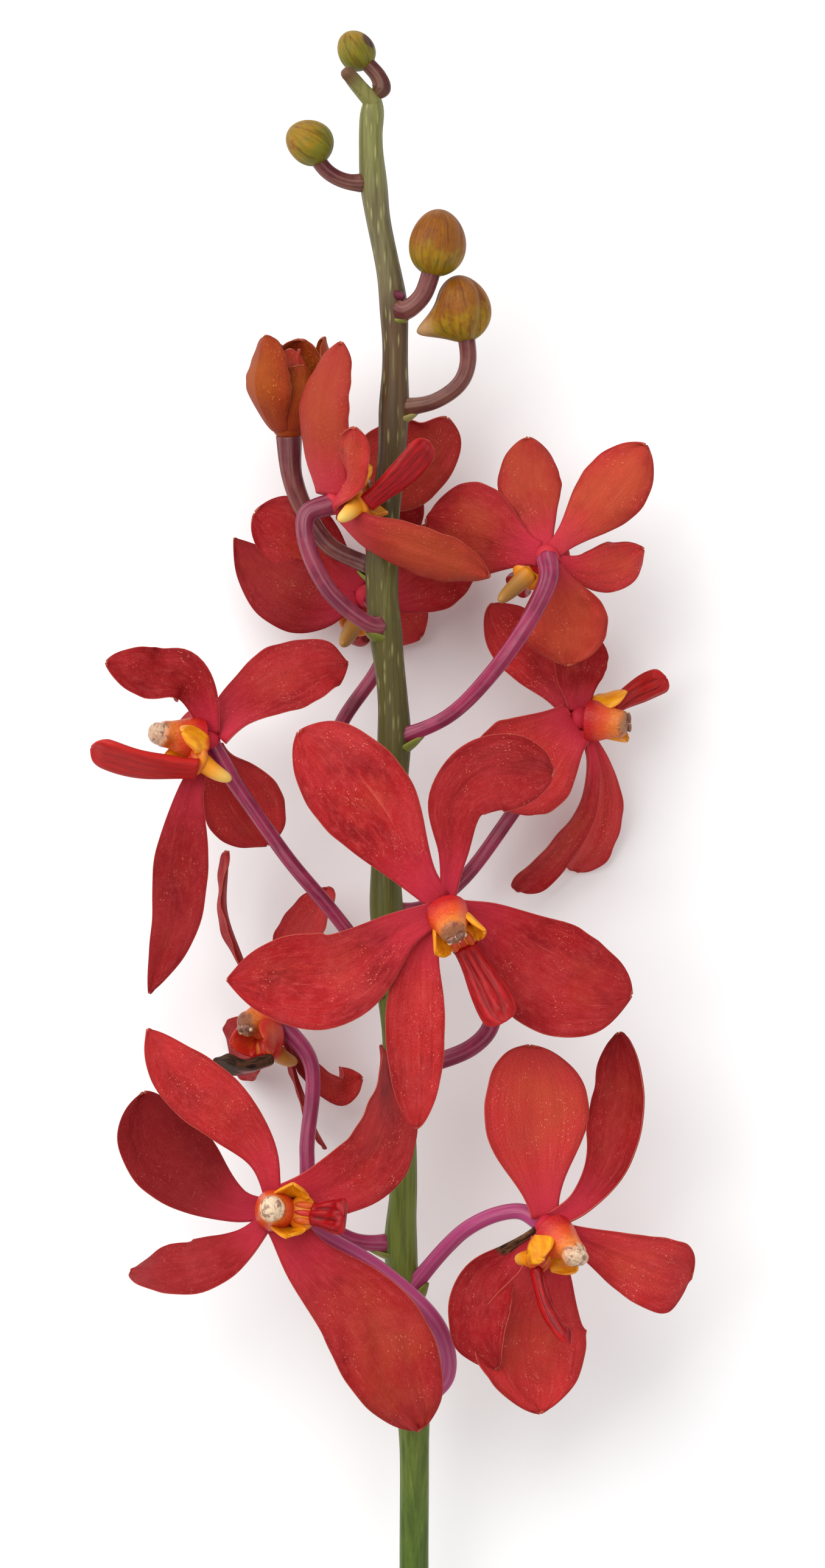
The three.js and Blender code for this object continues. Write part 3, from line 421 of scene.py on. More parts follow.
# %% Column, throat, lip and pollen finishes
def column_finish():
    """Crimson at the foot, then orange, then the cap: tan where the mark cream is low and ivory where it is
    high, with plum stains where noise is high."""
    wax = Finish("column_wax", Roughness=0.4, Specular_IOR_Level=0.35, Subsurface_Weight=0.1,
                 Subsurface_Radius=(0.003, 0.0015, 0.001), Subsurface_Scale=0.25)
    blotch, fine = wax.noise(0.55, 4, 0.65), wax.noise(2.2, 4, 0.6)
    up = wax.mark("reach") + (blotch - 0.5) * 0.3
    ivory = (wax.mark("cream") + (blotch - 0.5) * 0.6).step(-0.2, 0.8)
    stain = wax.noise(0.8, 4, 0.6).step(0.5, 0.62) * up.step(0.7, 0.9)
    tone = wax.coats(
        (186, 24, 26), (up.step(0.1, 0.5), (216, 74, 24)), (up.step(0.45, 0.8), (222, 122, 46)),
        (up.step(0.78, 0.98), wax.coats((140, 84, 48), (ivory, (232, 204, 170)))),
        (stain * 0.7, (104, 48, 46)), ((1 - fine.step(0.3, 0.6)) * 0.25, (120, 40, 24)))
    return wax.feed(tone, blotch + fine, 0.4, 0.0004)


def throat_finish():
    """Golden yellow with fine streaks, a red flush on the lobes and a pale or green end on the spur."""
    wax = Finish("throat_gold", Roughness=0.4, Specular_IOR_Level=0.35, Subsurface_Weight=0.15,
                 Subsurface_Radius=(0.003, 0.002, 0.0006), Subsurface_Scale=0.3)
    streak, blotch = wax.noise(0.8, 4, 0.6, along=0.6), wax.noise(0.35, 3, 0.6)
    flush = (wax.mark("flush") + (blotch - 0.5) * 0.6).step(0.4, 0.95)
    tone = wax.coats((216, 128, 8), (streak.step(0.35, 0.7), (238, 168, 20)), (flush, (190, 38, 22)),
                     (wax.mark("pale"), (220, 188, 96)), (wax.mark("green") * 0.9, (134, 102, 52)))
    return wax.feed(tone, streak + blotch, 0.25, 0.0003)


def lip_finish():
    """Deep crimson, with painted shade in the grooves that makes them almost black red, redder where the mark
    flush says so and brown where the mark scorch does."""
    wax = Finish("lip_crimson", Specular_IOR_Level=0.2)
    fine = wax.noise(2.2, 4, 0.6, along=0.15)
    dry = (wax.mark("scorch") + (wax.noise(0.4, 4, 0.7) - 0.5) * 0.6).step(0.4, 0.75)
    tone = wax.coats(
        # Painted shade: the grooves between the ridges are darkened towards almost black red.
        (130, 4, 12), (fine.step(0.35, 0.65), (172, 12, 20)), (wax.mark("groove") * 0.7, (70, 2, 8)),
        ((wax.mark("flush") * 0.5).clamped(), (194, 40, 30)),
        (dry, wax.coats((28, 20, 18), (fine.step(0.4, 0.6), (86, 56, 36)))))
    return wax.feed(tone, fine, 0.3, 0.0004, 0.32 + fine * 0.14 + dry * 0.4)


def pollen_finish():
    """Brown grains with paler patches."""
    grain = Finish("pollen_brown", Roughness=0.5, Specular_IOR_Level=0.3)
    patch = grain.noise(1.4, 4, 0.6)
    tone = grain.coats((112, 70, 58), (patch.step(0.4, 0.65), (160, 118, 100)))
    return grain.feed(tone, patch, 0.3, 0.0002)


COLUMN, THROAT, LIP, POLLEN = column_finish(), throat_finish(), lip_finish(), pollen_finish()
print("column, throat, lip and pollen finishes")

# %% [markdown]
# ## Finishes of stalks, stem and buds
# Flower stalks are plum purple with pale streaks and a painted highlight along their ribs, and pinker low on
# the stem. The stem itself is fresh green at its cut, olive in the middle and brownish near the buds, with
# short pale flecks along it. The colour reads how far up the stem a point lies, which is simply its Y. Buds
# turn from yellow green to orange brown.

# %% Stalk, stem and bud finishes
def stalk_finish():
    """Plum with pale lengthwise streaks and a painted highlight along its ribs; the mark pink makes it lilac
    pink, the mark olive greenish brown.
    """
    skin = Finish("stalk_plum", Roughness=0.38, Specular_IOR_Level=0.24, Subsurface_Weight=0.05,
                  Subsurface_Radius=(0.003, 0.001, 0.001), Subsurface_Scale=0.3)
    streak, cloud = skin.noise(1.0, 3, 0.6, along=0.05, across=9.0), skin.noise(0.2, 3, 0.6)
    patches, olive = cloud.step(0.35, 0.65), skin.mark("olive")
    rib = ((skin.part("X", along=1.0) * (6 * 2 * math.pi) + cloud * 1.5).sine() * 0.5 + 0.5) ** 5.0
    tone = skin.coats(
        (108, 16, 44), (patches, (142, 34, 66)), (skin.mark("pink"), (168, 62, 112)),
        (olive, skin.coats((66, 30, 30), (patches, (88, 60, 40)))),
        # Painted highlight: a pale line along each of the six ribs, together with pale lengthwise streaks.
        ((streak.step(0.5, 0.75) * 0.35 + rib * 0.25).clamped(),
         skin.coats((198, 130, 150), (olive, (158, 126, 98)))))
    return skin.feed(tone, rib * 0.6 + streak, 0.3, 0.0004)


def stem_finish():
    """Green at the cut, olive, then brownish, by height in millimetres; pale flecks stretched along it."""
    skin = Finish("stem_green", Specular_IOR_Level=0.22)
    cloud, streak = skin.noise(0.16, 4, 0.6, up=0.26), skin.noise(1.1, 5, 0.65, up=0.04)
    up = skin.part("Y") + (cloud - 0.5) * 26
    tone = skin.coats(
        (76, 98, 32), (up.step(-95, -45), (104, 118, 46)), (up.step(-20, 50), (84, 76, 36)),
        (up.step(78, 116), (88, 64, 42)), (up.step(124, 140), (108, 98, 66)),
        (up.step(144, 158), (122, 120, 66)), ((1 - streak.step(0.36, 0.56)) * 0.4, (46, 48, 22)),
        (streak.step(0.54, 0.74) * 0.5, (128, 128, 70)),
        (skin.dots(1.1, 0.3, up=0.15) * up.step(10, 90) * 0.6, (158, 156, 100)),
        (skin.mark("bract"), skin.coats((116, 124, 44), (cloud.step(0.4, 0.6), (146, 136, 76)))),
        (skin.mark("dry"), (96, 66, 42)), (skin.mark("plum"), (92, 30, 48)))
    return skin.feed(tone, streak + cloud * 0.5, 0.35, 0.0005, 0.34 + streak * 0.2)


def bud_finish():
    """Yellow green at the foot to orange brown over the top, as far as the mark ripe says, with veins."""
    skin = Finish("bud_amber", Roughness=0.4, Specular_IOR_Level=0.22, Subsurface_Weight=0.05,
                  Subsurface_Radius=(0.003, 0.002, 0.0008), Subsurface_Scale=0.3)
    veins, cloud = skin.noise(1.3, 5, 0.7, 0.6, along=0.14), skin.noise(0.35, 5, 0.65)
    ripe = skin.mark("ripe") + (cloud - 0.5) * 1.1 + (veins - 0.5) * 0.4
    patch = skin.noise(0.9, 5, 0.7).step(0.52, 0.7) * ripe.step(0.0, 0.5)
    tone = skin.coats(
        (112, 108, 18), (ripe.step(-0.1, 0.4), (148, 112, 12)), (ripe.step(0.35, 0.8), (136, 78, 6)),
        ((1 - veins.step(0.32, 0.54)) * 0.65, (86, 34, 8)), (patch * 0.6, (104, 40, 8)),
        (veins.step(0.58, 0.74) * 0.55, (172, 124, 30)), (skin.mark("beak"), (176, 138, 96)),
        (skin.mark("spot"), (66, 38, 30)))
    return skin.feed(tone, veins + cloud * 0.5, 0.6, 0.0005)


STALK, STEM, BUD = stalk_finish(), stem_finish(), bud_finish()
print("stalk, stem and bud finishes")

# %% [markdown]
# ## How a petal is shaped
# A petal is a strip along its midrib. The midrib is a smooth line through points read off the photograph.
# Across it, the strip is as wide as an outline function says, bent like an arch, and grooved along the
# middle. Its edges wave. A strip has a front and a back, and both meet at the rim.

# %% A strip with two faces
def strip_grid(rows, columns, power, end=0.9995):
    """Two tables over a strip: how far along it a point lies, from 0 to end, and how far across, from -1
    to 1. The rows crowd towards the tip, and the columns towards both rims like the sine of an even angle."""
    across = np.sin(np.linspace(-np.pi / 2, np.pi / 2, columns))
    return np.meshgrid(crowded(rows, power) * end, across, indexing="ij")


def both_faces(table):
    """A table over the strip, repeated for its back in the order of the rings."""
    return np.concatenate([table, table[:, -2:0:-1]], axis=1)


def strip(line, faces, S, V, half, arch, lift, front, back, roll=(0.0, 0.0)):
    """Rings round a strip. Its middle surface is the line plus side times half times sin(arch V) / arch
    plus face times (half (1 - cos(arch V)) / arch + lift); front and back lie at distances along its normal.
    roll turns the strip about its line, from its foot to its tip, in degrees."""
    s = S[:, 0]
    spine, along = line.at(s), line.way(s)
    face = unit(faces - along * dot(along, np.broadcast_to(faces, along.shape)))
    turn = np.radians(mix(roll[0], roll[1], s))[:, None]
    face = face * np.cos(turn) + np.cross(along, face) * np.sin(turn)
    side = np.cross(along, face)
    reach = half * np.sin(arch * V) / arch
    rise = half * (1 - np.cos(arch * V)) / arch + lift
    middle = spine[:, None] + side[:, None] * reach[..., None] + face[:, None] * rise[..., None]
    normal = unit(np.cross(np.gradient(middle, axis=1), np.gradient(middle, axis=0)))
    under = middle - normal * back[..., None]
    return np.concatenate([middle + normal * front[..., None], under[:, -2:0:-1]], axis=1)


def petal_outline(s, widest, claw, point):
    """Half width as a share: a smooth rise from the claw to the widest place, then (1 - q squared) to the
    power point, where q runs from the widest place to the tip."""
    rest = np.clip((s - widest) / (1 - widest), 0, 1)
    return np.where(s < widest, mix(claw, 1, smooth(0, widest, s)), (1 - rest ** 2) ** point)


def swing(times, x, start=0.0):
    """A sine that swings so many times while x goes from 0 to 1."""
    return np.sin(2 * np.pi * times * x + start)


PETAL_ROOT = 1.6
PETAL_ROWS, PETAL_COLUMNS = 54, 25
PETAL_THICK = 0.62
EDGE_WAVES, RUFFLES, NIBBLES, WANDERS = 2.5, 6, 5.5, 1.6
RUFFLE_TALL, NIBBLE_WIDE, WANDER_WIDE = 0.12, 0.008, 0.016
DENT_DEEP, WRINKLE_DEEP, FURROW_DEEP = 0.3, 0.35, 0.05
GROOVE_DEEP, GROOVE_HALF = 0.32, 0.55
MAP_APART = (40.0, 15.0)


def add_petal(piece, middle, seed, finish, rib, half, dusk, faces, amber, roll=(0, 0), cup=18, widest=0.6,
              claw=0.27, point=0.6, wave=0.4, wrinkled=0.0, dry_foot=0.0):
    """One petal as a closed skin. Its lift adds the long waves of the solid below, short ruffles that grow
    with the fourth power towards the rim, slow dents, wrinkles where asked for and a groove along the
    midrib. Its half widths wander a little, and its front carries shallow furrows. The seed also shifts its
    map, so that no two petals show the same spots."""
    phases = np.random.default_rng(seed).uniform(0, 2 * np.pi, 6)
    line = Line([unit(rib[0]) * PETAL_ROOT, *rib])
    S, V = strip_grid(PETAL_ROWS, PETAL_COLUMNS, 1.5)
    left, right = np.broadcast_to(half, 2)
    half = mix(left, right, smooth(-0.35, 0.35, V)) * petal_outline(S, widest, claw, point)
    wander = WANDER_WIDE * swing(WANDERS, S, phases[5] + 2.3 * np.sign(V)) * smooth(0.25, 0.5, S)
    nibble = NIBBLE_WIDE * swing(NIBBLES, S, phases[0] + np.sign(V)) * smooth(0.3, 0.6, S)
    waves = wave * V ** 2 * swing(EDGE_WAVES, S, np.where(V < 0, 0, 2)) * S
    ruffle = RUFFLE_TALL * V ** 4 * swing(RUFFLES, S, phases[1] + 2 * np.sign(V)) * smooth(0.2, 0.6, S)
    dents = DENT_DEEP * np.sin(5 * S + 2.2 * V + phases[2]) * np.sin(7 * S - 3.1 * V + phases[3])
    wrinkles = wrinkled * WRINKLE_DEEP * np.sin(9 * V + 4 * np.sin(6 * S)) * smooth(0.3, 0.6, S) * (1 - V ** 4)
    groove = GROOVE_DEEP * np.exp(-((V * half / GROOVE_HALF) ** 2)) * smooth(0.05, 0.3, S) * (1 - S ** 3)
    lift = waves + ruffle + dents * smooth(0.1, 0.5, S) + wrinkles - groove
    furrows = FURROW_DEEP * np.cos(V * 16 + phases[4]) * smooth(0.1, 0.4, S) * (1 - S ** 4)
    rim = np.sqrt(1 - V ** 8)
    body = PETAL_THICK / 2 * mix(1.5, 0.8, smooth(0, 0.35, S)) * rim
    rings = strip(line, unit(faces), S, V, half * (1 + wander + nibble), np.radians(cup), lift,
                  body + furrows * rim, body, roll)
    scorch = dry_foot * (1 - smooth(0.2, 0.4, S)) * smooth(-0.2, 0.5, V)
    edge = np.maximum(np.abs(V), smooth(0.9, 1.0, S))
    piece.skin(rings + middle, finish,
               around=both_faces(V * max(left, right) + MAP_APART[0] * (seed % 17))[0],
               along=S[:, 0] * line.length + MAP_APART[1] * (seed % 5),
               edge=both_faces(edge), reach=both_faces(S),
               amber=amber, scorch=both_faces(scorch), dusk=dusk)


print("a petal has", PETAL_ROWS * (2 * PETAL_COLUMNS - 2), "corners")

# %% [markdown]
# ## How a stalk is shaped
# A stalk is a ring of points carried along a line. The ring has to keep its turn as the line bends, so one
# side of it always looks the same way. Small ribs are a wave added to its radius.

# %% A tube along a line, and an egg
def tube(line, s, radius, sides, up=(0.0, 0.0, 1.0)):
    """Rings round a line: line plus radius times (cos a times up, made square to the line, plus sin a times
    the direction square to both). Radius is one number for each ring, or for each ring and side."""
    along = line.way(s)
    up = np.broadcast_to(up, along.shape)
    first = unit(up - along * dot(along, up))
    second = np.cross(along, first)
    angle = circle(sides)[None, :, None]
    ring = first[:, None] * np.cos(angle) + second[:, None] * np.sin(angle)
    return line.at(s)[:, None] + ring * radius.reshape(len(s), -1, 1)


def egg(middle, ways, radii, rows=24, sides=28):
    """A ball stretched along three directions: middle plus each direction times its radius times the ball's
    own coordinate. The poles lie on the third direction."""
    tilt, turn = np.linspace(0.02, np.pi - 0.02, rows)[:, None], circle(sides)[None]
    ball = np.stack([np.sin(tilt) * np.cos(turn), np.sin(tilt) * np.sin(turn), np.cos(tilt) + 0 * turn], -1)
    return middle + (ball * radii) @ np.array(ways, float)


print("a small egg has", 24 * 28, "corners")

# %% [markdown]
# ## The nine open blooms, measured
# Each row says where a bloom's middle lies, which way it faces, where its column and lip end and how its
# stalk runs. Then it says how orange its petals are, how pink or olive its stalk is, how creamy the cap of
# its column is, and what else is its own. Its five petals follow, each as a midrib, a half width, or one
# for each side, and how deep and how shaded its red is: 1 is dark crimson, partly its own colour and partly
# painted shade, 0 is coral, and less than 0 is painted light that makes it rosy and bright.

# %% Measures of the blooms
def tepal(rib, half, dusk, **own):
    """One petal's row of measures; own holds what differs from the usual petal."""
    return dict(rib=rib, half=half, dusk=dusk, **own)


BLOOMS = [
    dict(middle=[-23.9, 62.9, 41], faces=[0.05, 0, 1], cap=[-0.6, 0.8, 9], lip=[11.7, -0.5, 9],
         throat=[1, -0.1, 0.1], lip_half=3, leaves=27.5, stalk_radii=[1.6, 1.5],
         stalk=[[5.6, 33, 23.5], [4.2, 42, 30], [-5, 51.5, 34], [-15.5, 58, 35.5]], amber=0.15, pink=0.9,
         cream=1.0, tepals=[
        tepal([[-2.4, 9.6, 2], [-8.2, 16.7, 4], [-17.9, 25.4, 5], [-22.2, 31.7, 4]], 5.8, -0.3, point=0.8),
        tepal([[-6.9, 1.1, -1], [-14.9, 6.4, -3], [-21, 13.3, -4], [-23.1, 20.5, -3]], [8, 7.4], 0.9),
        tepal([[-5.9, -5.9, 1], [-13.3, -9.9, 2], [-19.7, -10.3, 0], [-25.3, -10.6, -4]], 6, 0.5,
              roll=(20, 55)),
        tepal([[5.3, -8.5, 1], [14.4, -17.6, 1], [20.7, -28.2, -1], [24.8, -38.4, -6]], [9, 8.6], 0.2,
              claw=0.38, wrinkled=1, amber=0.45),
        tepal([[9, 3.9, 1], [16.7, 9.6, 1], [19.4, 18.6, -1], [18.3, 28.6, -3]], 8.4, -0.2, roll=(0, 80),
              claw=0.5)]),
    dict(middle=[23, 59.9, 34], faces=[0.3, -0.25, 0.9], cap=[5.2, -5, 6.5], lip=[4, -20.1, 6],
         throat=[-0.35, -1, 0.1], lip_half=1.5, leaves=46.9, stalk_radii=[1.45, 1.35],
         stalk=[[6, 56.2, 26], [9.7, 59.5, 28.5], [14.5, 61.8, 30], [18.7, 62.3, 31]], amber=0.3, pink=0.9,
         cream=0.5, tepals=[
        tepal([[-0.9, 6.2, 0], [-1.9, 15.2, 1], [-2.3, 23.7, 1], [-2.8, 31.5, -1]], 9.8, -0.8, point=0.5,
              amber=0.45),
        tepal([[6.8, 4.4, 1], [12.3, 12, 1], [14.3, 22.7, -1], [13, 33.6, -4]], 7, 0.4,
              faces=(-0.6, 0, 0.8), cup=60),
        tepal([[6.8, -2.7, 0], [14.8, -6.3, -1], [21.2, -8.7, -2], [25.4, -9.3, -5]], 6.8, -0.3, widest=0.8),
        tepal([[-0.6, -8.7, -2], [-3, -17.8, -4], [-2.1, -25.7, -4], [-1, -32.8, -3]], 10.5, -0.4,
              point=0.7, wrinkled=0.7),
        tepal([[-6.2, -5.3, -1], [-10.6, -10.3, 0], [-11.3, -17.8, 1], [-8.6, -24.8, 0]], 6, 0.3,
              roll=(0, 45), cup=40, amber=0.0, dry_foot=0.9)]),
    dict(middle=[-24.3, 95.7, 17], faces=[-0.7, -0.2, 0.5], cap=[-5.5, -1, 5], lip=[-10.5, -7, 6],
         throat=[0, -1, 0.2], lip_half=4, leaves=56.2, stalk_radii=[1.4, 1.3],
         stalk=[[-11, 57, 22], [-17.6, 62, 22], [-18.8, 72, 21.5], [-18.2, 88, 19]], amber=0.25, pink=0.4,
         cream=-0.6, dry_lip=0.95, red_throat=0.75, green_spur=0.6, tepals=[
        tepal([[-5, 7.6, 0], [-8.7, 18.2, 1], [-8.8, 29.4, 3]], 6, 0.1, faces=(-1, 0, 0.1)),
        tepal([[1.7, 7.6, -2], [5.1, 15.5, -4], [9.4, 23, -6]], 6.5, -0.3),
        tepal([[4.6, -6.3, -5], [9.9, -12.1, -7], [15, -10.9, -9]], 4.5, -0.8, claw=0.15),
        tepal([[2.3, -6.8, -4], [4.9, -15.3, -9], [8.5, -23.4, -12]], 4, 0.2, faces=(-1, 0, 0.2), claw=0.15),
        tepal([[-3, -3, -6], [-6, -6, -11], [-8, -8, -16.4]], 6, 0.5)]),
    dict(middle=[5.5, 115.5, 48], faces=[0, -0.1, 1], cap=[1.4, -4.3, 8], lip=[9.9, -19.5, 6],
         throat=[0.45, -0.9, 0], lip_half=3.2, leaves=86.3, stalk_radii=[1.6, 1.5],
         stalk=[[10, 90.9, 29], [13.6, 95.5, 33], [13, 102.5, 36], [6.5, 110.5, 39.5]], amber=0.2,
         pink=0.15, cream=-0.1, bright_lip=0.2, tepals=[
        tepal([[-4.5, 4.8, 1], [-14, 17.9, 2], [-21, 26.1, 1], [-25.5, 30.5, -1]], [8.1, 9.6], 0.0),
        tepal([[1.1, 9.6, 2], [1.7, 18.6, 4], [7.2, 23.6, 4], [18.6, 23.6, 1]], [6.4, 7.3], 0.3,
              widest=0.75, claw=0.22),
        tepal([[7.2, -2.3, -2], [15.7, -8.7, -3], [23.2, -12.8, -4], [32.2, -15.1, -6]], [8.8, 11], 0.15),
        tepal([[-7.7, -3.7, 1], [-18.3, -11.4, 1], [-27.9, -12.2, 0], [-37.9, -12.4, -3]], [8.8, 8.4], 0.0,
              point=0.85),
        tepal([[-4.1, -7.4, -1], [-5.3, -18.6, -1], [-5.2, -28.7, -2], [-5.1, -38.1, -3]], 5.4, -0.2,
              cup=25, claw=0.4, widest=0.5)]),
    dict(middle=[-35.6, 144.5, 38], faces=[-0.7, 0, 0.7], cap=[-8.6, 1.2, 4], lip=[-20.2, -1.3, 8],
         throat=[0, -0.75, 0.7], lip_half=3.3, leaves=100.1, stalk_radii=[1.3, 1.25],
         stalk=[[-13, 113.1, 30], [-21.6, 123.5, 33], [-26.3, 130.1, 35.5], [-31.4, 137.6, 37.8]],
         amber=0.2, pink=0.1, cream=0.4, bright_lip=0.7, red_throat=0.1, tepals=[
        tepal([[-0.7, 5.6, 2], [-3.5, 10.6, 4], [-10.6, 11.7, 7], [-17.6, 13.6, 8]], 5, 0.4, roll=(30, 30),
              claw=0.45),
        tepal([[5.3, 5.6, 0], [12.8, 9.9, -2], [19.1, 12.8, -4], [24, 13.6, -7]], [7.5, 7], 0.3, claw=0.5,
              point=0.75),
        tepal([[2.4, -5, -7], [5.9, -11.4, -10], [8.5, -16, -13], [9.8, -18.1, -15]], 7.2, -0.6, claw=0.3,
              faces=(-0.2, 0.2, 1)),
        tepal([[-3.1, -8.7, 1], [-4.5, -19.4, 1], [-5.9, -32.1, 0], [-10.5, -44, -3]], 5, 0.6,
              faces=(-0.2, 0, 1), point=0.85, widest=0.5),
        tepal([[-2, 0, -7], [-3, 2, -14], [-3, 4, -20], [-1, 7, -25]], 7, 0.4)]),
    dict(middle=[29.3, 148.5, 17], faces=[0.85, 0.05, 0.5], cap=[8, -0.9, 3], lip=[15.2, 7.2, -3],
         throat=[0, 0.4, -0.9], lip_half=2.4, leaves=114.5, stalk_radii=[1.3, 1.25],
         stalk=[[2.1, 115.5, 21], [8.6, 120.2, 16], [17, 131.3, 13], [23.4, 141.1, 13]], amber=0.25,
         bright_lip=0.6, tepals=[
        tepal([[-4.6, 6.2, -2], [-10.8, 13.4, -4], [-15.6, 20.4, -6]], 5.8, -0.2, faces=(0.3, 0.1, 1),
              claw=0.45, amber=0.1),
        tepal([[-0.4, 4.8, 0], [-0.2, 9, 1], [0.6, 13, 2], [1.4, 15.5, 3]], 5, 0.2, faces=(0.3, 0, 1),
              claw=0.45),
        tepal([[-3.2, -2.7, 3], [-8, -6.9, 5], [-12.8, -10.1, 5], [-16.5, -12.8, 3]], 9.3, -0.5,
              faces=(0.2, 0, 1), claw=0.45, point=0.5),
        tepal([[2.1, -7.4, 0], [1.1, -15.4, -2], [-3.7, -23.4, -6], [-10.9, -30.4, -12]], 3.6, 0.0,
              faces=(0.6, 0, 0.8), widest=0.8, point=0.3),
        tepal([[3.9, -8.7, -4], [4.6, -15.4, -8], [2.4, -22.9, -12], [-0.5, -27.1, -16]], 4.2, -0.6,
              faces=(0.5, 0, 0.8), widest=0.75, point=0.35)]),
    dict(middle=[-8.5, 170.3, 11.3], faces=[0.1, -0.1, -1], cap=[0.5, -0.5, -9], lip=[-1, -6, -10],
         throat=[-0.4, -0.9, 0], lip_half=2.4, spur_out=5, leaves=133, stalk_radii=[1.3, 1.25],
         stalk=[[-12.4, 140, 22.5], [-13.2, 146.4, 20], [-6.2, 157.6, 17.5], [-3.5, 165, 16.5]], amber=0.3,
         green_spur=0.9, tepals=[
        tepal([[-5.9, 5.4, 1], [-12.8, 10.7, 2], [-19.6, 14.6, 2]], 7, 0.3, point=0.5),
        tepal([[-7.5, -1.6, 2], [-14.5, 0.6, 3], [-19.6, 5, 1], [-23.2, 10.2, -1]], [7.4, 6.2], 0.7,
              widest=0.4, point=0.95),
        tepal([[5.4, 0.9, 1], [11.8, 5.6, 0], [19.7, 11.6, -2]], 8, 0.1, claw=0.3, widest=0.45),
        tepal([[3, 8, 0], [5, 16, -1], [6, 24, -2]], 5.5, 0.2, amber=0.05),
        tepal([[3.5, -2.5, -3], [7, -5, -6], [9.6, -7.2, -9]], 6, -0.6)]),
    dict(middle=[23.2, 176.6, 36], faces=[0.1, 0.15, -1], cap=[1, 1, -9], lip=[-4, -4, -13],
         throat=[-0.75, -0.7, 0], lip_half=2.4, spur_out=6.4, leaves=144.6, stalk_radii=[1.25, 1.6],
         stalk=[[5.9, 148.8, 31], [13.3, 156, 35.5], [20.4, 166.1, 40], [23.3, 172.5, 40.5]], amber=0.65,
         pink=0.15, green_spur=0.9, tepals=[
        tepal([[-1.1, 5.4, -2], [-3.2, 13.4, -5], [-3.2, 20.9, -7]], 5.7, 0.3),
        tepal([[5, 5.1, -1], [10.9, 11.5, -2], [17.2, 19.5, -2]], [6.3, 5.9], -0.2),
        tepal([[6.1, -2, -3], [11.9, -1.5, -6], [16.9, 1.4, -9]], 4.5, -0.5, amber=0.35),
        tepal([[1.5, -5.5, -2], [2.9, -12.1, -4], [3.4, -18.8, -6]], 8, 0.0),
        tepal([[-5.6, 1.9, -3], [-13.1, 4.7, -6], [-21, 7, -10]], 8.5, 0.3, amber=0.45)]),
    dict(middle=[-14, 186, 33], faces=[0.75, 0.65, 0.1], cap=[6, 2.9, -1.8], lip=[16.7, 10.4, 5],
         throat=[0.65, -0.1, 0.75], lip_half=2.6, leaves=164.5, stalk_radii=[1.4, 1.6],
         stalk=[[-8.2, 165.1, 32.5], [-14.8, 170.7, 35.5], [-18.8, 179.5, 35.5], [-18.6, 184, 34.5]],
         amber=0.5, pink=0.15, olive=0.35, tepals=[
        tepal([[-1.6, 7.2, 3], [-2.1, 15.7, 4], [-0.9, 22.1, 4], [1.5, 27.8, 3]], 5.6, 0.4,
              faces=(0.6, 0, -0.8), claw=0.7, widest=0.5, amber=0.75),
        tepal([[2.4, 3, 6], [3.2, 7.2, 10], [3.6, 12.6, 13]], 3.8, -0.2, faces=(0.2, -0.6, -0.8), claw=0.7),
        tepal([[5.5, -5, 4], [13.5, -8.2, 5], [21, -10.9, 5], [27.1, -12.8, 4]], 5.2, 0.3,
              faces=(0.3, 0.5, -0.8), claw=0.5, amber=0.75),
        tepal([[5, 3.5, -12], [12.5, 7.8, -18], [17.8, 12, -18], [19.9, 15.5, -17]], 8, -0.3,
              faces=(0.4, 0.2, 0.9)),
        tepal([[4, -1, -9], [8, -3, -15], [12, -5, -16], [15, -7, -15]], 5, 0.1)]),
]

for number, bloom in enumerate(BLOOMS, 1):
    bloom["name"] = f"bloom_{number}"
print(len(BLOOMS), "blooms and", sum(len(bloom["tepals"]) for bloom in BLOOMS), "petals measured")

# %% [markdown]
# ## Petals
# Five petals grow from a small knob behind the column. Each petal gets its own seed, so no two ruffle alike.

# %% Petals of the open blooms
HUB_RADIUS = 2.15


def add_hub(piece, bloom):
    """The knob that the petals grow from: an egg a little flatter along the way that the bloom faces."""
    up = unit(bloom["cap"])
    side = unit(np.cross(up, [0.3, 0.5, 0.81]))
    radii = HUB_RADIUS * np.array([0.98, 0.98, 0.9])
    piece.skin(egg(bloom["middle"], [side, np.cross(up, side), up], radii), PETAL,
               edge=0, reach=0.1, amber=bloom["amber"], scorch=0)


for number, bloom in enumerate(BLOOMS):
    petals = Piece(bloom["name"] + "_tepals", "tepals")
    for place, row in enumerate(bloom["tepals"]):
        row = {"faces": bloom["faces"], "amber": bloom["amber"], **row}
        add_petal(petals, bloom["middle"], 10 * number + place + 3, PETAL, **row)
    add_hub(petals, bloom)
    petals.build()
print("petals of", len(BLOOMS), "blooms")

# %% [markdown]
# ## Column
# The column is a stout round stump. It is hollowed on the side of the lip, where a visiting bee would touch
# it, and ends in a round cap. Under the cap lie two brown grains of pollen, which show where it has torn.
# The cap and the grains are skins of their own in the same piece, because their colours change sharply.

# %% Columns
COLUMN_OUTLINE = [(3.7, 0), (3.6, 0.2), (3.0, 0.5), (2.5, 0.75), (2.35, 0.9), (1.9, 1.0), (1.1, 1.05),
                  (0.3, 1.06)]
COLUMN_FOOT = HUB_RADIUS - 0.3
HOLLOW_DEEP, HOLLOW_PLACE, HOLLOW_TALL, HOLLOW_WIDE = 0.32, 0.72, 0.16, 0.7
CAP_RADII, GRAIN_RADII, BEAK_RADII = (2.15, 1.9, 1.4), (0.95, 0.75, 0.4), (0.16, 0.75, 0.4)
WHOLE_CAP, ABOVE = 0.2, 1.2
GRAIN_APART, RIM_HALF, RIM_TALL = 0.85, 1.7, 1.25


def bloom_ways(bloom):
    """Up the way that the column points, out towards the lip and square to up, and square to both."""
    up = unit(bloom["cap"])
    out = np.array(bloom["throat"], float)
    out = unit(out - up * (out @ up))
    return up, out, np.cross(up, out)


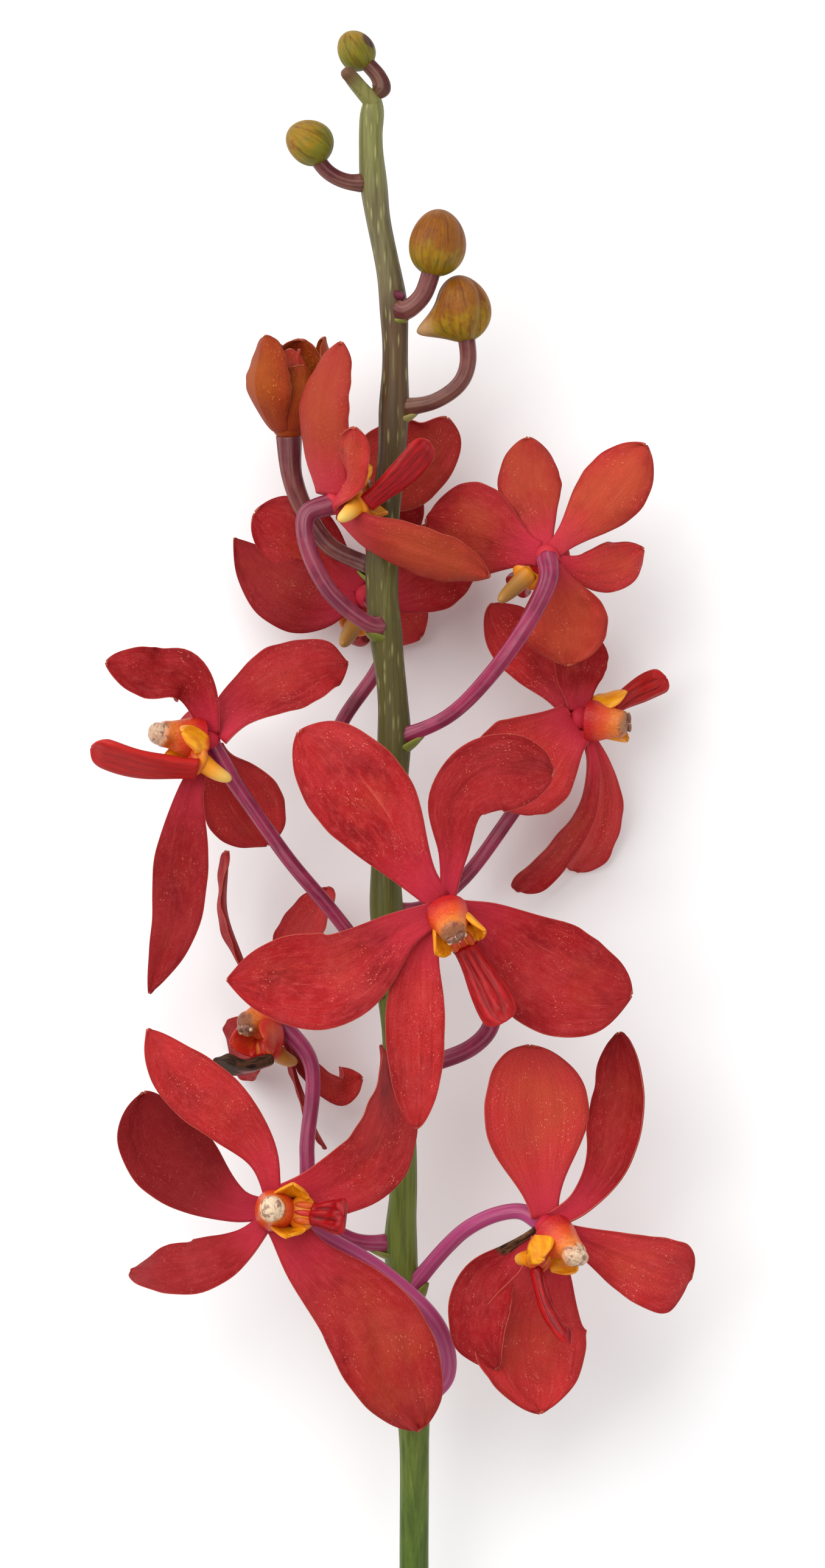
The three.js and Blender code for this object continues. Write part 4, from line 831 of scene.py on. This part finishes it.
def add_column(bloom):
    """Rings at a share of the column's length, with the outline's radius, less a hollow towards the lip.
    A creamy cap is whole, and any other has torn."""
    up, out, side = bloom_ways(bloom)
    reach = np.linalg.norm(bloom["cap"]) - COLUMN_FOOT
    radii, shares = np.array(COLUMN_OUTLINE).T
    s = np.linspace(0, shares[-1], 40)
    outline = Line([(x, y, 0) for x, y in zip(shares, radii)]).points
    angle = circle(40)
    towards = np.exp(-((np.minimum(angle, 2 * np.pi - angle) / HOLLOW_WIDE) ** 2))
    hollow = HOLLOW_DEEP * np.outer(np.exp(-(((s - HOLLOW_PLACE) / HOLLOW_TALL) ** 2)), towards)
    lobed = 1 + 0.03 * np.cos(3 * angle)
    radius = np.interp(s, outline[:, 0], outline[:, 1])[:, None] * (1 - hollow) * lobed
    ring = out * np.cos(angle)[:, None] + side * np.sin(angle)[:, None]
    rings = bloom["middle"] + up * (COLUMN_FOOT + s * reach)[:, None, None] + ring * radius[..., None]
    piece = Piece(bloom["name"] + "_column", "column")
    cream = bloom.get("cream", 0.0)
    piece.skin(rings, COLUMN, reach=(s / shares[-1])[:, None], cream=cream)
    look = unit(up * 0.85 + out * 0.55)
    over = np.cross(side, look)
    ways = [side, over, look]
    face = bloom["middle"] + up * (COLUMN_FOOT + reach * 1.03) + out * 0.55
    if cream > WHOLE_CAP:
        piece.skin(egg(face - over * 0.5 - look * 0.3, ways, CAP_RADII), COLUMN, reach=ABOVE, cream=cream)
    else:
        add_torn_cap(piece, face, ways, max(cream, 0.8))
    piece.build()


def add_torn_cap(piece, face, ways, cream):
    """Two grains of pollen, the small beak between them, and the torn rim: a thin tube of uneven radius
    along half an oval round the grains."""
    side, over, look = ways
    for hand in (-1, 1):
        piece.skin(egg(face + side * GRAIN_APART * hand + look * 0.15, ways, GRAIN_RADII, 12, 16), POLLEN)
    turn = np.linspace(0.02, 0.98, 9)[:, None] * np.pi
    rim = (face + side * np.cos(turn) * RIM_HALF + over * np.sin(turn) * RIM_TALL
           + look * (0.05 + 0.15 * np.sin(5 * turn)))
    s = crowded(30, 1.5)
    torn = (0.3 + 0.1 * np.sin(17 * s) + 0.07 * np.sin(31 * s)) * np.sqrt(1 - (2 * s - 1) ** 8 * 0.95)
    piece.skin(tube(Line(rim), s, torn, 12), COLUMN, reach=ABOVE, cream=cream)
    piece.skin(egg(face + look * 0.15, ways, BEAK_RADII, 12, 16), COLUMN, reach=ABOVE, cream=0.3)


for bloom in BLOOMS:
    add_column(bloom)
print("columns with caps and pollen")

# %% [markdown]
# ## Throat
# Beside the column stand two golden lobes like small upright ears, which curve round it. A saddle joins them
# where the lip begins, and a blunt spur hangs below. The lobes are strips as the petals are, only short,
# thick and square.

# %% Throats
THROAT_OUT, THROAT_UP = 4.8, 3.3
LOBE_SPREAD, LOBE_HALF, LOBE_TALL, LOBE_THICK = 3.8, 3.8, 3.2, 0.42
SADDLE_RADII, HUMP_RADII = (3.2, 2.5, 1.35), (0.7, 0.6, 1.7)
SPUR_OUT, SPUR_DROP = 3.6, 6.0


def add_throat(bloom):
    """Two lobes, a saddle of three soft humps and a spur, round a foot between the column and the lip."""
    up, out, side = bloom_ways(bloom)
    foot = bloom["middle"] + out * THROAT_OUT + up * THROAT_UP
    piece = Piece(bloom["name"] + "_throat", "throat")
    S, V = strip_grid(26, 17, 1.6, 0.999)
    red, green = bloom.get("red_throat", 0.0), bloom.get("green_spur", 0.0)
    half = LOBE_HALF * mix(0.7, 1.0, smooth(0, 0.5, S)) * (1 - S ** 2.6) ** 0.55
    thick = LOBE_THICK * np.sqrt(1 - V ** 6) * mix(1.3, 0.7, S)
    flush = both_faces(red + 0.15 + 0.55 * (1 - smooth(0.0, 0.3, S)) + 0.35 * smooth(0.6, 1.0, np.abs(V)))
    for hand in (-1, 1):
        points = [foot + side * hand * (LOBE_SPREAD + spread) + up * rise - out * back
                  for spread, rise, back in ((-0.9, -1.3, 1.6), (0, 1.2, 2.1), (0.7, LOBE_TALL + 1.1, 1.7))]
        wave = 0.25 * np.sin(4 * S + 2 * V + hand) * S
        rings = strip(Line(points), -side * hand, S, V, half, 0.75, wave, thick, thick)
        piece.skin(rings, THROAT, around=both_faces(V * LOBE_HALF)[0], along=S[:, 0] * 5, flush=flush,
                   pale=0, green=0)
    piece.skin(egg(foot - up * 0.2, [side, out, up], SADDLE_RADII), THROAT, flush=0.55 + red, pale=0, green=0)
    for hand in (-1, 0, 1):
        hump = foot + side * hand * 1.35 + up * 0.75 + out * 0.3
        piece.skin(egg(hump, [side, up, out], HUMP_RADII, 16, 18), THROAT, flush=0.95 - 0.2 * abs(hand),
                   pale=0, green=0)
    spur_out = bloom.get("spur_out", SPUR_OUT)
    spur = Line([foot - up * 0.5, foot + out * spur_out * 0.65 - up * SPUR_DROP * 0.55,
                 foot + out * spur_out - up * SPUR_DROP])
    s = crowded(30)
    radius = mix(1.8, 1.0, s) * np.sqrt(1 - s ** 8 * 0.999)
    piece.skin(tube(spur, s, radius, 24, up=out), THROAT,
               flush=(red * 0.6 + 0.5 * (1 - smooth(0, 0.4, s)))[:, None],
               pale=(max(0.0, 0.8 - green) * smooth(0.3, 0.9, s))[:, None],
               green=(green * smooth(-0.2, 0.5, s))[:, None])
    piece.build()


for bloom in BLOOMS:
    add_throat(bloom)
print("throats with lobes and spurs")

# %% [markdown]
# ## Lip
# The lip is a thick tongue with rounded ridges along it and narrow grooves between them. Its end has a
# small notch. The ridges are the absolute value of a cosine across the tongue, which is round on top
# and sharp in the grooves, and the same number tells the finish where to paint shade into the grooves.

# %% Lips
LIP_START, LIP_THICK = 7.8, 2.2
LIP_KNEE, LIP_DROOP = 0.8, 0.35
NOTCH_DEEP, NOTCH_WIDE, GROOVE_CUT = 0.14, 0.22, 0.6


def add_lip(bloom):
    """A strip from the throat over a knee to the lip's end. Its front is half its thickness plus ridges."""
    up, out, side = bloom_ways(bloom)
    root = out * LIP_START + up * (THROAT_UP + 0.3)
    tip = np.array(bloom["lip"], float)
    line = Line([root - out * 0.9, (root + tip) / 2 + out * LIP_KNEE, tip])
    S, V = strip_grid(44, 41, 1.7)
    notch = NOTCH_DEEP * np.exp(-((V / NOTCH_WIDE) ** 2)) * smooth(0.8, 1.0, S)
    half = bloom["lip_half"] * mix(0.66, 1.06, smooth(0, 0.75, S)) * np.sqrt(1 - S ** 16)
    ridge = np.abs(np.cos(1.75 * np.pi * V + 0.45 * np.sin(3.2 * S) * (1 - V ** 2))) ** 0.6
    grooves = (1 - ridge) * smooth(0.0, 0.12, S) * (1 - smooth(0.85, 1.0, S)) * (1 - V ** 6)
    back, thinner = LIP_THICK / 2 * (1 - 0.5 * V ** 2), 1 - smooth(0.86, 1.0, S) * 0.75
    rim = np.sqrt(1 - V ** 10)
    front = (back + 0.3 - GROOVE_CUT * grooves + 0.12 * np.sin(11 * S + 3 * V)) * rim * thinner * (1 - notch * 5)
    faces = unit(np.mean(unit(np.cross(line.way(S[:, 0]), side)), axis=0))
    rings = strip(line, faces, S, V, half, 0.3, -LIP_DROOP * half * V ** 2, front, back * rim * thinner)
    flush = bloom.get("bright_lip", 0.0) + 0.35 * smooth(0.75, 1.0, np.abs(V))
    scorch = bloom.get("dry_lip", 0.0) * smooth(0.1, 0.8, np.maximum(np.abs(V), S))
    piece = Piece(bloom["name"] + "_lip", "lip")
    piece.skin(rings + bloom["middle"], LIP, around=both_faces(V * bloom["lip_half"])[0],
               along=S[:, 0] * line.length, groove=both_faces(grooves), flush=both_faces(flush),
               scorch=both_faces(scorch))
    piece.build()


for bloom in BLOOMS:
    add_lip(bloom)
print("ridged lips")

# %% [markdown]
# ## The stem
# The stem is one long tube from the cut to the buds. It swells a little wherever a stalk leaves and carries
# about a dozen shallow ribs. At all nodes but the last two a small pointed bract hugs the stem below the
# stalk, and beside the topmost bud a short end has withered.

# %% Measures of the stem, the half-open bloom and the buds
# Each row of the stem's route is x, y, z and the radius there
STEM_ROUTE = [
    [0, -85, 2.5, 2.6], [-0.2, -40, 8.6, 2.55], [0, 0, 14.4, 2.5], [-0.1, 27, 18.3, 2.5], [-2.3, 56, 22, 2.5],
    [-1.8, 68, 23.3, 2.3], [-3.2, 95, 25.4, 2.4], [-5, 119, 26.5, 2.55], [-3.5, 147, 27.4, 2.55],
    [-5.6, 173, 28.2, 2.5], [-3.6, 199, 28.6, 2.3], [-3.6, 221, 29, 2.05], [-6.6, 238, 29, 2],
    [-7.6, 250, 29, 1.95], [-7, 258, 29.2, 1.8]]
STUB_ROUTE = [[-7, 256, 29.2], [-9.6, 258.8, 31], [-12.2, 261.6, 33.2]]
OPENING_BLOOM = dict(
    name="opening_bloom", middle=[-22, 198.7, 24], axis=[0.05, 1, 0.06], half=6.6, olive=0.8,
    ring=[[50, 16.7, 7.6], [-22, 11.8, 5.8], [-94, 16.9, 7.2], [-166, 16.3, 6.2], [122, 15.7, 5.8]],
    leaves=174.5, stalk_radii=[1.4, 1.95],
    stalk=[[-9.5, 176, 25], [-15, 179, 22.5], [-19.2, 185, 21.8], [-21.4, 191, 22.4]])
BUDS = [
    dict(name="bud_1", middle=[8.3, 220, 31], size=[4.8, 5.9], tip=[-0.15, 1, 0.1], beak=[-7.8, -4.2, 0],
         ripe=(0.3, 0.8), ridged=0.15, olive=0.9, leaves=202.6, stalk_radii=[1.3, 1.55],
         stalk=[[3.6, 203.9, 30], [7.9, 206.9, 30.5], [9.4, 210.6, 30.8]]),
    dict(name="bud_2", middle=[4, 231.4, 33], size=[5.1, 5.9], tip=[0.1, 1, 0.1], ripe=(0.2, 0.9), olive=0.8,
         leaves=220.4, stalk_radii=[1.5, 1.75],
         stalk=[[-1.2, 219.9, 31.5], [1.2, 221.9, 32.3], [2.6, 225, 32.8]]),
    dict(name="bud_3", middle=[-18.3, 249.1, 30], size=[4.1, 4.3], tip=[-0.8, 0.5, 0.1], ripe=(-0.2, 0.35),
         olive=0.9, leaves=242.1, stalk_radii=[1.35, 1.4],
         stalk=[[-11.5, 242.3, 29.4], [-14.2, 243.4, 29.6], [-16, 245, 29.8]]),
    dict(name="bud_4", middle=[-10.2, 265.2, 29.2], size=[3.4, 3.7], tip=[-0.5, 0.9, 0.1],
         ripe=(-0.3, 0.15), spot=0.95, spot_way=(0.75, 0.55, 0.4), olive=1.0, leaves=257,
         stalk_radii=[1.4, 1.35], stalk=[[-5.7, 258.8, 29.4], [-6.2, 260.6, 29.4], [-8, 262.8, 29.3]])]

FLOWERS = [*BLOOMS, OPENING_BLOOM, *BUDS]
BRACTED = FLOWERS[:-2]
stem_line = Line([row[:3] for row in STEM_ROUTE], 1500)
stem_rise = stem_line.points[:, 1]
print("stem of", round(stem_line.length), "mm with", len(FLOWERS), "nodes")


# %% Stem
NODE_SWELL, NODE_REACH = 0.35, 5.0
BODY_END = 0.985
RIDGE_RADII = (2.0, 0.9, 1.3)


def stem_point(height):
    """The stem's middle at a height along Y."""
    return np.array([np.interp(height, stem_rise, stem_line.points[:, axis]) for axis in range(3)])


def stem_radius(height):
    """The measured radius at a height, plus a swelling at each node that fades within 5 mm."""
    rows = np.array(STEM_ROUTE)
    nodes = np.array([flower["leaves"] for flower in FLOWERS])
    swell = np.exp(-((np.asarray(height)[..., None] - nodes) / NODE_REACH) ** 2).sum(-1)
    return np.interp(height, rows[:, 1], rows[:, 3]) + NODE_SWELL * np.minimum(swell, 1)


def add_stem():
    """The stem's own tube with a rounded tip, the bracts, a plum ridge at one bud's node and the stub."""
    piece = Piece("stem", "stem")
    s = np.concatenate([[0.0, 0.0006], np.linspace(0.002, BODY_END, 330), 1 - 0.015 * (1 - crowded(10)[1:])])
    heights = np.interp(s, stem_line.shares, stem_rise)
    angle = circle(48)
    ribs = 0.06 * np.cos(12 * angle) + 0.05 * np.cos(5 * angle + 0.04 * heights[:, None])
    ends = np.sqrt(1 - np.clip((s - BODY_END) / 0.015, 0, 1) ** 2 * 0.99)
    ends[0] = 0.94
    radius = (stem_radius(heights)[:, None] + ribs) * ends[:, None]
    piece.skin(tube(stem_line, s, radius, 48), STEM, bract=0, dry=0, plum=0)
    for flower in BRACTED:
        add_bract(piece, flower)
    ridge = FLOWERS[-3]
    node = stem_point(ridge["leaves"])
    away = unit(ridge["stalk"][0] - node)
    piece.skin(egg(node + away + [0, 2.1, 1.3], [away, [0, 1, 0], [0, 0, 1]], RIDGE_RADII), STEM, plum=1)
    s = crowded(24, 1.8)
    crumple = 1 + 0.08 * np.cos(5 * circle(24) + 6 * s[:, None]) * s[:, None]
    radius = (mix(1.6, 1.2, s) + 0.25 * smooth(0.8, 0.95, s)) * np.sqrt(1 - s ** 12 * 0.9)
    piece.skin(tube(Line(STUB_ROUTE), s, radius[:, None] * crumple, 24), STEM, bract=0.35,
               dry=smooth(0.45, 0.95, s)[:, None])
    piece.build()


def add_bract(piece, flower):
    """A pointed scale under the stalk's foot: a strip that starts in the stem and hugs the stalk, whose sides
    bend up round it. It runs the stalk's own starting way, a little lower."""
    root = stem_point(flower["leaves"])
    along = unit(flower["stalk"][0] - root)
    down = unit(along * along[1] - [0.0, 1.0, 0.0])
    low = root + along * (stem_radius(flower["leaves"]) - 1.3) + down * (flower["stalk_radii"][0] * 1.3 + 0.3)
    size = 0.7 if flower in BUDS else 1.0
    line = Line([low + along * out * size + down * drop
                 for out, drop in ((0, 0.6), (1.6, 0.25), (3.8, -0.5))])
    S, V = strip_grid(20, 15, 1.5, 0.999)
    half = 1.9 * (1 - S ** 2) ** 0.7
    body = 0.3 * np.sqrt(1 - V ** 6) * mix(1.5, 0.7, S)
    piece.skin(strip(line, -down, S, V, half, 0.9, 0 * S, body, body), STEM,
               bract=both_faces(mix(0.8, 1.0, S)), dry=both_faces(0.6 * smooth(0.8, 1.0, S)))


add_stem()
print("stem with", len(BRACTED), "bracts")

# %% [markdown]
# ## Flower stalks
# Each stalk leaves the stem at its node, widens a little there, and bends up to its flower. Six ribs run
# along it.

# %% Flower stalks
FLARE, FLARE_REACH = 0.28, 1.6
STALK_END = 0.985


def add_stalk(flower):
    """A tube from just inside the stem through the measured points to the flower, six-ribbed. Its foot is
    wider where it leaves the stem, which fades like exp(-distance / 1.6 mm)."""
    is_bud = flower in BUDS
    line = Line([stem_point(flower["leaves"]), *flower["stalk"], flower["middle"]])
    foot, head = flower["stalk_radii"]
    s = np.linspace(0.0, STALK_END, 90)
    past_stem = s * line.length - stem_radius(flower["leaves"])
    flare = FLARE * foot * np.exp(-(np.maximum(past_stem, 0) / FLARE_REACH))
    radius = (mix(foot, head, s) + flare) * mix(0.55, 1.0, smooth(-2.2, 0.2, past_stem))
    radius = radius + (0.25 if is_bud else 0.3) * smooth(0.75, 1.0, s)
    ribbed = radius[:, None] * (1 + 0.045 * np.cos(6 * circle(30) + 1.5 * s[:, None]))
    piece = Piece(flower["name"] + "_stalk", "bud_stalks" if is_bud else "stalks")
    piece.skin(tube(line, s, ribbed, 30), STALK, along=s * line.length, pink=flower.get("pink", 0.0),
               olive=flower.get("olive", 0.0) * mix(1.0, 0.75, s)[:, None])
    piece.build()


for flower in FLOWERS:
    add_stalk(flower)
print(len(FLOWERS), "stalks")

# %% [markdown]
# ## The half-open bloom and the buds
# The half-open bloom shows the backs of five young petals in a ring that still lean together, and between
# them three inner ones. A bud is an egg with three seams where its outer petals meet. The largest bud also
# has a beak on one side, where the future spur grows, so its egg is pulled out towards that point.

# %% The half-open bloom
RING_RIB = [(0.02, 0.35), (0.24, 0.76), (0.54, 1.0), (1.0, 0.78)]
INNER_RIB = [(3, 1.5), (8, 2.6), (14.5, 1.2)]
INNER_TURNS = (20, 150, 270)
CORE_RADIUS, CORE_RISE = 3.1, 1.6


def add_opening_bloom(bloom):
    """Five petals in a ring round the axis. Each row of the ring is a turn in degrees, a height and a reach,
    and the rib's points are shares of that height and reach. The inner petals' points are in millimetres."""
    up = unit(bloom["axis"])
    across = unit(np.cross(up, [0.0, 0.0, 1.0]))
    deep = np.cross(across, up)
    piece = Piece(bloom["name"] + "_tepals", "young_tepals")

    def petal(turn, height, reach, points, seed, finish, **own):
        out = deep * math.cos(math.radians(turn)) - across * math.sin(math.radians(turn))
        rib = [up * height * rise + out * reach * spread for rise, spread in points]
        add_petal(piece, bloom["middle"], seed, finish, rib, faces=-out, claw=0.4, **own)

    for number, (turn, height, reach) in enumerate(bloom["ring"]):
        petal(turn, height, reach, RING_RIB, 200 + number, YOUNG_PETAL, half=bloom["half"], dusk=0.0,
              amber=0.5, cup=48, widest=0.46, wave=0.1, point=0.42)
    piece.skin(egg(bloom["middle"] + up * CORE_RISE, [across, deep, up], [CORE_RADIUS] * 3), YOUNG_PETAL,
               edge=0, reach=0.3, amber=0.6, scorch=0)
    for number, turn in enumerate(INNER_TURNS):
        petal(turn, 1, 1, INNER_RIB, 230 + number, PETAL, half=4.2, dusk=-0.2, amber=0.6, cup=50,
              widest=0.55, wave=0.2, point=0.5)
    piece.build()


add_opening_bloom(OPENING_BLOOM)
print("half-open bloom")


# %% Buds
SEAM_DEEP, SEAM_WIDE = 0.05, 0.09


def add_bud(bud, seed):
    """An egg whose radius shrinks at three seams and towards its tip. A beak pulls it out: the nearer a
    direction is to the beak's, the further its corner moves."""
    up = unit(bud["tip"])
    across = unit(np.cross([0.0, 0.0, 1.0], up))
    width, reach = bud["size"]
    tilt, turn = np.linspace(0.015, np.pi - 0.015, 60)[:, None], circle(72)[None]
    height = np.cos(tilt) + 0 * turn
    seam = np.abs(np.angle(np.exp(1j * (turn + 0.5 + 0.3 * height) * 3))) / 3
    flat = 1 - height ** 4
    furrow = 1 - SEAM_DEEP * np.exp(-(seam / SEAM_WIDE) ** 2) * (1 - height ** 8)
    furrow = furrow - 0.03 * np.cos(3 * turn) * flat
    furrow = furrow + bud.get("ridged", 0) * (np.abs(np.sin(2.5 * turn + height)) - 0.6) * flat
    facet = 1 + 0.012 * np.cos(6 * turn + 2 * height + seed)
    radius = width * furrow * facet * (1 - 0.08 * height) * 0.97 * np.sin(tilt)
    local = np.stack([np.cos(turn) * radius, height * reach, -np.sin(turn) * radius], -1)
    points = local @ np.array([across, up, np.cross(up, across)])
    beak_near = 0 * height
    if "beak" in bud:
        way = unit(bud["beak"])
        near = (unit(points) @ way).clip(0, 1)
        beak_near = near ** 3
        length = np.linalg.norm(bud["beak"]) - np.linalg.norm(points, axis=-1) * near
        points = points + way * (length * near ** 9)[..., None]
    ripe = mix(*bud["ripe"], smooth(-0.9, 0.6, height))
    spot = smooth(0.86, 0.93, unit(points) @ unit(bud.get("spot_way", (0, 0, -1)))) * bud.get("spot", 0)
    piece = Piece(bud["name"], "buds")
    piece.skin(points + bud["middle"], BUD, around=np.linspace(0, 6 * width, 72), along=tilt[:, 0] * reach,
               ripe=ripe, spot=spot, beak=0.9 * smooth(0.55, 0.95, beak_near))
    piece.build()


for number, bud in enumerate(BUDS):
    add_bud(bud, number)
print(len(BUDS), "buds")
